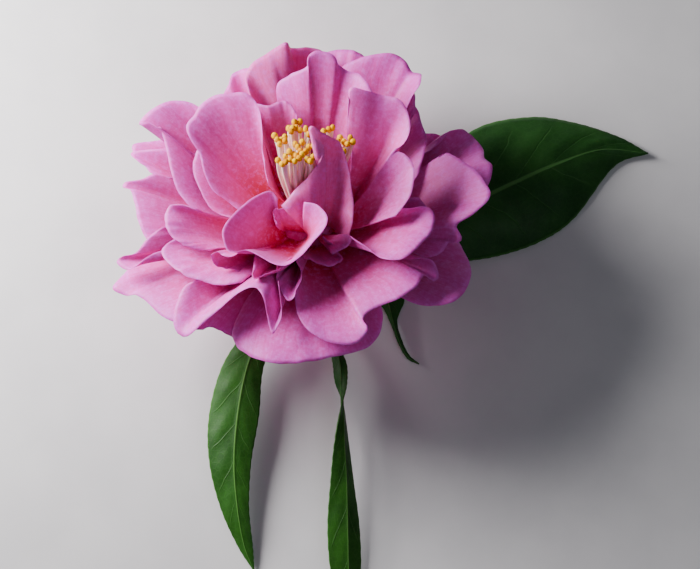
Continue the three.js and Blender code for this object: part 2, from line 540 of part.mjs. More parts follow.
/**
 * A leaf by three lines from its base to its tip, each a list of [x, y, lift above the surface]:
 * the midrib and the two edges. The edges are cut into small forward-pointing teeth, the halves arch
 * a little, and the midrib stands out on the underside, which is the front face where `under` is 0.
 */
function leaf({ rib, left, right, petiole, arch, under, teeth }) {
  const [ribLine, leftLine, rightLine] = [rib, left, right].map((line) => line.map(surfacePoint));
  const knots = evenShares(rib.length);
  const shares = [0];
  for (let tooth = 0; tooth < teeth; tooth++) {
    shares.push((tooth + TOOTH_POINT) / teeth, (tooth + 1) / teeth);
  }
  const grid = shares.map((share, i) => {
    const middle = curveAt(ribLine, knots, share);
    const halves = [leftLine, rightLine].map((line) => {
      const edge = curveAt(line, knots, share);
      const outward = edge.clone().sub(middle);
      if (i % 2 === 1 && share < 0.97) edge.addScaledVector(outward.clone().normalize(), TOOTH_DEPTH);
      const inner = middle.clone().addScaledVector(outward, 0.5);
      inner.addScaledVector(UP, arch * outward.length() / LEAF_HALF_WIDTH);
      return [edge, inner];
    });
    return [halves[0][0], halves[0][1], middle, halves[1][1], halves[1][0]];
  });
  grid[0] = spread(grid[0], grid[1], BASE_HALF_WIDTH);
  grid[grid.length - 1] = spread(grid.at(-1), grid.at(-2), TIP_HALF_WIDTH);
  const thickness = (i, j) => {
    const extra = j === 2 ? RIB_DEPTH * (1 - i / grid.length) : 0;
    return under === 0 ? [BLADE / 2 + extra, BLADE / 2] : [BLADE / 2, BLADE / 2 + extra];
  };
  const stalk = [...petiole.map(surfacePoint), ribLine[0], curveAt(ribLine, knots, 0.03)];
  const radii = evenShares(stalk.length).map((share) => PETIOLE_RADIUS * (1 - 0.35 * share));
  return join([blade(grid, thickness), rod(stalk, radii, 6)]);
}

/** Spreads a row of grid points that have run together evenly, the way that the next row lies. */
function spread(row, neighbour, halfWidth) {
  const direction = neighbour.at(-1).clone().sub(neighbour[0]).normalize();
  return row.map((_, j) => row[2].clone().addScaledVector(direction, (halfWidth * (j - 2)) / 2));
}

const LEAVES = {
  leaf_1: {
    rib: [[17, -10, 6.5], [27, -4.5, 9], [38, 1, 9.5], [50, 6, 9], [62, 11.5, 8.5], [74, 16.5, 7.5],
      [87, 21, 5], [99.6, 20.2, 2]],
    left: [[17, -9, 6.3], [25, 3, 6], [36, 15, 4.5], [50, 27.5, 3.5], [66.5, 31, 3], [79.7, 29.3, 3],
      [91.4, 24.5, 2.6], [99.6, 20.2, 2]],
    right: [[17, -11, 6.3], [31, -13, 6], [45, -11.5, 4], [57, -9.4, 2], [68, -5, 1], [78, 1, 0.6],
      [89, 12, 0.6], [99.6, 20.2, 2]],
    petiole: [[3.1, -19, 4.3], [9, -15.5, 6]], arch: 1.6, under: 0, teeth: 15,
  },
  leaf_2: {
    rib: [[-9, -25, 6], [-14, -33, 10], [-18, -43, 12], [-20.5, -56, 12.5], [-21.5, -70, 11.5],
      [-20.5, -83, 8.5], [-18.5, -94, 4], [-15.5, -101.7, 1]],
    left: [[-9.5, -25, 5.8], [-19, -33, 3], [-25.5, -43, 1.2], [-29, -57, 0.6], [-28.8, -70, 0.6],
      [-25.5, -83, 0.6], [-20.5, -94, 0.6], [-15.5, -101.7, 1]],
    right: [[-8.5, -25, 5.8], [-10.5, -34, 3], [-13.5, -44, 1.2], [-14.5, -57, 0.6], [-16.6, -70, 0.6],
      [-17.2, -83, 0.6], [-16.1, -94, 0.6], [-15.5, -101.7, 1]],
    petiole: [[-2.5, -23.5, 3], [-5.5, -24, 4.6]], arch: 1.2, under: 0, teeth: 14,
  },
  leaf_3: {
    rib: [[6, -33, 5], [9, -41, 7], [9.7, -51.6, 9], [10.8, -63, 10.5], [11.4, -76, 10.5],
      [11.4, -90, 8], [11.8, -103, 4], [13, -113, 0.8]],
    left: [[5.5, -33, 4.5], [7.2, -41, 1.5], [8.2, -51.6, 0.6], [7, -64, 0.6], [5.9, -78, 0.6],
      [5.6, -91, 0.6], [8.2, -104, 0.6], [13, -113, 0.8]],
    right: [[6.5, -33, 4.5], [11, -41, 1.5], [11.2, -51.6, 0.6], [12.4, -64, 0.6], [13.4, -78, 0.6],
      [14.5, -91, 0.6], [14.8, -104, 0.6], [13, -113, 0.8]],
    petiole: [[2.6, -27, 2.6], [5, -30, 3.8]], arch: 1, under: 0, teeth: 14,
  },
  leaf_4: {
    rib: [[10, -12, 2.6], [15.5, -12.5, 2.8], [20, -16.5, 2.8], [23.3, -23, 2.6], [25, -29, 2.2],
      [27, -35.5, 1.8], [29.5, -39.8, 1.4], [32.8, -41.9, 1]],
    left: [[10, -12.6, 2.4], [13, -17.5, 1.2], [17.5, -22, 0.8], [21.7, -25, 0.8], [24, -30.3, 1],
      [26, -35.8, 1], [28.8, -40.5, 0.9], [32.8, -41.9, 1]],
    right: [[10, -11.4, 2.4], [17.5, -7.5, 1.2], [25.5, -11.5, 0.8], [29, -21, 0.8], [26.8, -29, 1],
      [27.9, -34.8, 1], [30, -39, 0.9], [32.8, -41.9, 1]],
    petiole: [[3.3, -15.2, 6.5], [6.2, -13.5, 4.4]], arch: 0.8, under: 1, teeth: 10,
  },
};

// ---- the part ----

const room = corolla(BLADE + 2 * CLEARANCE);
const pieces = [
  mesh("corolla", corolla(BLADE), 0xd8668f, 0.55),
  mesh("stamens", stamenBrush(room), 0xe8b733, 0.7),
  mesh("pistil", pistil(), 0xe3d9a0, 0.6),
  mesh("calyx", calyx(), 0x7f9a4e, 0.6),
  mesh("twig", twig(), 0x6b5a3a, 0.8),
  ...Object.entries(LEAVES).map(([name, shape]) => mesh(name, leaf(shape), 0x2f5a33, 0.4)),
];

const group = new THREE.Group();
group.rotation.x = SURFACE_LEAN;
group.position.set(HEART_X, HEART_Y, HEART_HEIGHT);
group.add(...pieces);

export default group;
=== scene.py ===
"""A camellia in full bloom, picked with a short twig and four leaves, lying on a pale surface.

The bloom is described in its own "face" frame, in millimetres: the origin is the heart of the flower,
x runs to the right, y up across the open face and z out of the face. to_part() turns that frame into
the part's own, in metres, where the surface is z = 0.
"""
import math
from collections import namedtuple

import bmesh
import bpy
import numpy as np
from mathutils import Matrix, Vector
from mathutils.bvhtree import BVHTree


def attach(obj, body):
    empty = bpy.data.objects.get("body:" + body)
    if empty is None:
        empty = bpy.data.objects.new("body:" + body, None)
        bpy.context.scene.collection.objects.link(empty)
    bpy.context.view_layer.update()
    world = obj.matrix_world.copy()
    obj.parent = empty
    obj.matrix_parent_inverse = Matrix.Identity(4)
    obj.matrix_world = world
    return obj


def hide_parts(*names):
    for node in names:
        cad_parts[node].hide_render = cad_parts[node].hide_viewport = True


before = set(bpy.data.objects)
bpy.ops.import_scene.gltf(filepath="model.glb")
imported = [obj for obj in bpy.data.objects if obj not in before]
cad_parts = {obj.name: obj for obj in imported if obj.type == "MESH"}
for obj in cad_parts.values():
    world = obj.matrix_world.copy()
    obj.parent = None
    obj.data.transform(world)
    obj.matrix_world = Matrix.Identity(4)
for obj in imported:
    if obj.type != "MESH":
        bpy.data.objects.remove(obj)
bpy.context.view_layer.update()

# ---- sizes, in millimetres and radians ----
MM = 0.001
HEART = np.array([-21.58, 29.28, 25.0])  # the heart of the bloom in the part's frame
AXIS_LEAN = math.radians(45)  # the bloom's axis, from the face's z towards its y
SURFACE_LEAN = math.radians(18)  # the surface's normal, from the face's z towards its y
GOLDEN_ANGLE = math.pi * (3 - math.sqrt(5))

SIDE = np.array([1.0, 0.0, 0.0])
BACK = np.array([0.0, math.cos(AXIS_LEAN), -math.sin(AXIS_LEAN)])
AXIS = np.array([0.0, math.sin(AXIS_LEAN), math.cos(AXIS_LEAN)])
UP = np.array([0.0, math.sin(SURFACE_LEAN), math.cos(SURFACE_LEAN)])

# Roots of the three rings of petals: distance from the axis and height above the heart.
INNER = (6.2, 1)
MIDDLE = (7.5, -1)
OUTER = (8.5, -3)
CLAW_SPREAD = math.radians(34)  # half the arc that a petal's root takes up
PETAL_THICKNESS = 0.42
NOTCH = 1.6  # depth of the notch in a guard petal's rim
GUARD_WAVE = 1  # how far its rim waves up and down

# A petal's relief: its height, and the number of stretches between its random heights.
SEED = 11
PETAL_COLUMNS = 73
PETAL_ROWS = 33
PLEAT, PLEATS = 0.28, 11  # long pleats that run with the veins
RUFFLE, RUFFLES = 0.8, 6  # slow waves of the rim
CRUMPLE, CRUMPLES = 0.22, 23  # quick waves of the rim
FRAY, FRAYS = 0.12, 31  # how far the rim frays in and out
ROLL_STRETCHES = 5
FULL_RUFFLE = 30  # rims as long as this from end to end ruffle in full

BRUSH_HEIGHT = 31
FILAMENT_TIP = 0.45  # a filament's radius at its tip
FILAMENT_FOOT = 0.9
ANTHER_SIZES = (0.95, 1.15)  # half an anther's length and width, at least and at most
ANTHER_FURROW = 0.28  # depth of its furrow as a share of its width
COLUMN_RADIUS = 5
COLUMN_BORE = 3.1
COLUMN_FOOT = 3.9
COLUMN_TOP = 9
COLUMN_FLUTES = 24
FLUTE_DEPTH = 0.12
STYLE_TOP = 25
STIGMA_LOBES = 3

SEPALS = 6
SEPAL_THICKNESS = 0.7
TWIG = [[0,-9.2,13.4], [0,-13.4,8.1], [0.5,-19.5,3.2], [0,-26,2], [-0.5,-33,2]]
TWIG_RADIUS = 2
TWIG_NODES = [0.3, 0.47, 0.6, 0.74]  # shares of the twig's length
NODE_SWELLING = 0.35
BARK_WAVE = 0.06
TWIG_SIDES = 28

LEAF_THICKNESS = 0.45
LEAF_COLUMNS = 29
ROWS_PER_TOOTH = 5
TOOTH_POINT = 0.7  # where in its stretch a tooth has its point
TOOTH_DEPTH = 0.14
SIDE_VEINS = 8  # side veins on each half of a leaf
VEIN_SLANT = 0.9  # how far one runs forward, in spaces between them
MIDRIB_HEIGHT = 0.35
FOLD = 0.2  # height of the slow folds between the side veins
WIDE_HALF = 18  # width of a leaf's half that arches in full
FOLDED_HALF = 12  # width of a leaf's half that folds in full

CAMERA_X = 12.3
CAMERA_Y = -18.3
CAMERA_DISTANCE = 1000.0
VIEW_WIDTH = 205.1  # width of what the camera sees at the heart
SENSOR_WIDTH = 36
CLIP_END = 10  # metres
FLOOR_REACH = 3.0  # metres
SETTLE = 0.0004  # metres: where what lies on the surface begins to flatten


# ---- points and curves: whole arrays, the last axis holds x, y, z ----

def face_point(rows):
    """Points given as [x, y, height along the bloom's axis]: z is what is left of the height."""
    p = np.asarray(rows, float)
    return np.stack([p[..., 0], p[..., 1], (p[..., 2] - p[..., 1] * AXIS[1]) / AXIS[2]], -1)


def surface_point(rows):
    """Points given as [x, y, lift above the surface]: z is what brings them to that lift."""
    p = np.asarray(rows, float)
    return np.stack([p[..., 0], p[..., 1], (p[..., 2] - HEART[2] - p[..., 1] * UP[1]) / UP[2]], -1)


def ring_point(radius, angle, height):
    """Points round the bloom's axis: radius (cos SIDE + sin BACK) + height AXIS."""
    radius, angle, height = np.broadcast_arrays(*(np.asarray(v, float) for v in (radius, angle, height)))
    return ((radius * np.cos(angle))[..., None] * SIDE + (radius * np.sin(angle))[..., None] * BACK
            + height[..., None] * AXIS)


def to_part(points):
    """Face frame in millimetres to the part's frame in metres: a turn about x, then the heart's place."""
    c, s = math.cos(SURFACE_LEAN), math.sin(SURFACE_LEAN)
    x, y, z = points[..., 0], points[..., 1], points[..., 2]
    placed = np.stack([x, y * c - z * s, y * s + z * c], -1) + HEART
    return placed * MM


def unit(v):
    """Vectors at length one."""
    return v / np.maximum(np.linalg.norm(v, axis=-1, keepdims=True), 1e-9)


def steps(count):
    """Shares from 0 to 1 in `count` even places."""
    return np.linspace(0, 1, count)


def full_turn(sides):
    """Angles of a full turn in `sides` steps, with the first place again at the end."""
    return np.linspace(0, 2 * np.pi, sides + 1)


def chord_shares(points):
    """The share of a chain's length, 0 to 1, at which each of its points lies."""
    lengths = np.concatenate([[0], np.cumsum(np.linalg.norm(np.diff(points, axis=0), axis=1))])
    return lengths / lengths[-1]


def curve(points, knots, shares):
    """Smooth curve through points at their knots: cubic Hermite pieces with slopes from the neighbours."""
    slopes = np.empty_like(points)
    slopes[1:-1] = (points[2:] - points[:-2]) / (knots[2:] - knots[:-2])[:, None]
    slopes[0] = (points[1] - points[0]) / (knots[1] - knots[0])
    slopes[-1] = (points[-1] - points[-2]) / (knots[-1] - knots[-2])
    k = np.clip(np.searchsorted(knots, shares, side="right") - 1, 0, len(knots) - 2)
    width = (knots[k + 1] - knots[k])[:, None]
    s = (shares - knots[k])[:, None] / width
    return ((2 * s**3 - 3 * s**2 + 1) * points[k] + (s**3 - 2 * s**2 + s) * width * slopes[k]
            + (3 * s**2 - 2 * s**3) * points[k + 1] + (s**3 - s**2) * width * slopes[k + 1])


def bezier(a, b, c, d, t):
    """Cubic Bezier from a to d with handles b and c, for an array of shares t on a new axis."""
    a, b, c, d = (v[..., None, :] for v in (a, b, c, d))
    t = np.asarray(t)[:, None]
    return (1 - t)**3 * a + 3 * t * (1 - t)**2 * b + 3 * t**2 * (1 - t) * c + t**3 * d


def smooth_noise(count, rng, stretches):
    """A smooth random line of `count` values in about -1 to 1: a curve through random values that lie
    between `stretches` even stretches."""
    heights = rng.uniform(-1, 1, (stretches + 1, 1))
    return curve(heights, steps(stretches + 1), steps(count))[:, 0]


# ---- meshes ----

def new_object(name, data):
    """An object of the scene that holds a mesh, a camera or a light."""
    made = bpy.data.objects.new(name, data)
    bpy.context.scene.collection.objects.link(made)
    return made


def settled(points):
    """Presses what would sink into the surface flat on it: below SETTLE a height z becomes
    SETTLE exp((z - SETTLE) / SETTLE), so it nears zero but stays in order."""
    low = points[:, 2] < SETTLE
    points[low, 2] = SETTLE * np.exp((points[low, 2] - SETTLE) / SETTLE)
    return points


def close_seams(mesh):
    """Merges the doubled points of seams and poles, which turns the quads at a pole into triangles."""
    shape = bmesh.new()
    shape.from_mesh(mesh)
    bmesh.ops.remove_doubles(shape, verts=shape.verts, dist=1e-7)
    bmesh.ops.recalc_face_normals(shape, faces=shape.faces)
    shape.to_mesh(mesh)
    shape.free()


class Surface:
    """Faces, places, UVs and one attribute, gathered from several surfaces into one mesh."""

    def __init__(self):
        self.points, self.faces, self.uvs, self.tones, self.slots = [], [], [], [], []
        self.count = 0

    def add(self, points, faces, uvs, tones, slot):
        """Adds points (n, 3) in the face frame with a UV and a tone each, and quads (m, 4) with a slot."""
        self.points.append(points)
        self.faces.append(faces + self.count)
        self.uvs.append(uvs)
        self.tones.append(tones)
        self.slots.append(np.broadcast_to(slot, len(faces)))
        self.count += len(points)

    def build(self, name, materials, replaces):
        """Makes the object: a mesh in the part's frame, resting on the surface, that rides on the root."""
        points = settled(to_part(np.concatenate(self.points)))
        faces = np.concatenate(self.faces)
        mesh = bpy.data.meshes.new(name)
        mesh.vertices.add(len(points))
        mesh.vertices.foreach_set("co", points.ravel())
        mesh.loops.add(faces.size)
        mesh.loops.foreach_set("vertex_index", faces.ravel())
        mesh.polygons.add(len(faces))
        mesh.polygons.foreach_set("loop_start", np.arange(0, faces.size, 4))
        mesh.polygons.foreach_set("material_index", np.concatenate(self.slots))
        mesh.update(calc_edges=True)
        uv_map = mesh.uv_layers.new(name="UVMap")
        uv_map.data.foreach_set("uv", np.concatenate(self.uvs)[faces.ravel()].ravel())
        tone = mesh.attributes.new("tone", "FLOAT", "POINT")
        tone.data.foreach_set("value", np.concatenate(self.tones))
        close_seams(mesh)
        mesh.shade_smooth()
        for material in materials:
            mesh.materials.append(material)
        piece = new_object(name, mesh)
        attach(piece, "root")
        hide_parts(replaces)
        return piece


def grid_faces(rows, columns):
    """Quads of a grid of rows by columns points."""
    index = np.arange(rows * columns).reshape(rows, columns)
    return np.stack([index[:-1, :-1], index[1:, :-1], index[1:, 1:], index[:-1, 1:]], -1).reshape(-1, 4)


def grid_normals(grid):
    """Unit normals of a grid of points: the cross product of its two directions."""
    return unit(np.cross(np.gradient(grid, axis=0), np.gradient(grid, axis=1)))


def pairs(first, second):
    """UVs of a grid: u from the first list along the rows, v from the second along the columns."""
    return np.stack(np.meshgrid(first, second, indexing="ij"), -1)


def per_point(value, grid):
    """A value for each point of a grid, from one number or from an array that fits the grid."""
    return np.broadcast_to(np.asarray(value, float), grid.shape[:2])


def add_blade(surface, grid, half, uvs, tone=0.0, front_slot=0, back_slot=0):
    """A thin closed blade: the grid stood off by `half` along its normals to both sides, and a border."""
    rows, columns = grid.shape[:2]
    offset = per_point(half, grid)[..., None] * grid_normals(grid)
    count = rows * columns
    faces = grid_faces(rows, columns)
    index = np.arange(count).reshape(rows, columns)
    border = np.concatenate([index[0, :-1], index[:-1, -1], index[-1, :0:-1], index[:0:-1, 0]])
    following = np.roll(border, -1)
    edge = np.stack([border, following, following + count, border + count], -1)
    all_faces = np.concatenate([faces, faces[:, ::-1] + count, edge])
    slots = np.repeat([front_slot, back_slot], [len(faces), len(faces) + len(edge)])
    points = np.concatenate([(grid + offset).reshape(-1, 3), (grid - offset).reshape(-1, 3)])
    tones = per_point(tone, grid).ravel()
    surface.add(points, all_faces, np.tile(uvs.reshape(-1, 2), (2, 1)), np.tile(tones, 2), slots)


def add_tube(surface, grid, uvs=None, tone=0.0, slot=0):
    """A closed tube from rings of points whose first and last columns are the same place."""
    rows, columns = grid.shape[:2]
    uvs = pairs(steps(rows), steps(columns)) if uvs is None else uvs
    faces = grid_faces(rows, columns)[:, ::-1]
    surface.add(grid.reshape(-1, 3), faces, uvs.reshape(-1, 2), per_point(tone, grid).ravel(), slot)


def add_turned(surface, outline, sides):
    """A profile of [radius, height] from axis to axis, turned round the bloom's axis: u is the turn and
    v the way up the profile."""
    radius, height = np.array(outline, float).T[..., None]
    grid = ring_point(radius, full_turn(sides)[None, :], height)
    add_tube(surface, grid, pairs(steps(len(radius)), steps(sides + 1))[..., ::-1])


def add_rod(surface, path, radii, sides, tone=0.0, slot=0):
    """A round rod: a ring of points round each point of the path, and both ends drawn to a point. The
    rings don't twist, because each takes over the direction that the last one started from."""
    tangents = unit(np.gradient(path, axis=0))
    first = np.empty_like(path)
    start = np.array([0.31, 0.24, 0.92])
    for i, tangent in enumerate(tangents):
        start = unit(start - start @ tangent * tangent)
        first[i] = start
    second = np.cross(tangents, first)
    turn = full_turn(sides)[None, :, None]
    ring = first[:, None] * np.cos(turn) + second[:, None] * np.sin(turn)
    grid = path[:, None] + np.reshape(radii, (len(path), -1, 1)) * ring
    ends = np.repeat(path[[0, -1], None], sides + 1, 1)
    add_tube(surface, np.concatenate([ends[:1], grid, ends[1:]]), tone=tone, slot=slot)


# ---- petals ----

# A petal has its ring, the points [x, y, height] of its rim, and how far its veins belly outward at a
# third (cup) and at seven tenths (brow) of their way, as shares of their length. Its root lies under the
# middle of the rim, or at an azimuth in degrees. rolls are the millimetres that the rim rolls outward, at
# even steps along it. A tone above zero is deeper red, painted shade and red glow on petals that lie deep
# in the bloom or under others; one below zero is paler, painted light on petals that stand in shade.
# furrow has a place along the rim, a width and a depth, and makes a ridge where the depth is below zero.
Petal = namedtuple("Petal", "ring cup brow rim azimuth rolls tone furrow",
                   defaults=(None, [1], 0.0, [0, 1, 0]))


def guard(azimuth, reach, height, half_width):
    """A guard petal: radius = reach (1 - 0.2 |t|^3), less a notch in the middle, over t = -1 to 1."""
    t = np.array([-1, -0.7, -0.3, 0, 0.3, 0.7, 1])
    angle = np.radians(azimuth + half_width * t)
    radius = reach * (1 - 0.2 * np.abs(t)**3) - np.where(t == 0, NOTCH, 0)
    rise = height + GUARD_WAVE * np.sin(4 * t)
    rim = np.stack([radius * np.cos(angle), (radius * np.sin(angle) + rise) * AXIS[1], rise], -1)
    return Petal(OUTER, 0.05, -0.03, rim, azimuth)


ANTHERS = [  # millimetres to the right of the bloom's axis and behind it
  [-9.4,3.8], [-7.9,-0.2], [-7.4,2.5], [-6.3,1.1], [-8.2,-6.5], [-6.1,-4.8], [-5.9,-7.8], [-3.9,-3.6],
  [-2.6,-1.3], [-1.4,0.8], [0.5,-0.5], [-1.3,-4.6], [1,-6.8], [3.1,-2.3], [-4.7,5.1], [-5.3,7.5],
  [-3.7,9.2], [-2.1,9.7], [-2.1,6.5], [-0.4,6.2], [0.5,4.8], [4.7,5.6], [7.3,6.8], [9.5,3.5], [8.8,0.8],
  [11.6,0.4], [13.2,1.5], [4.5,-2.5], [6.5,-1], [8.5,-0.8], [3.5,-5], [6,-4.5], [8,-4], [10.5,-2.5],
  [5,-7.5], [-3.4,-7.4], [-7,-7.6], [-5,-3.4], [-3,-4.6], [-1.9,-2.4], [-0.3,-3.4], [0,-5.8], [-4.6,-6.4],
  [-2.2,-6], [1.7,-4.8], [2,-0.8], [-3.4,0.4], [-6.4,3.4], [-8.6,1.6], [-3.2,7.8], [-4.2,6.6], [6.2,6.4],
  [10.6,1.6], [12.4,2.4],
]

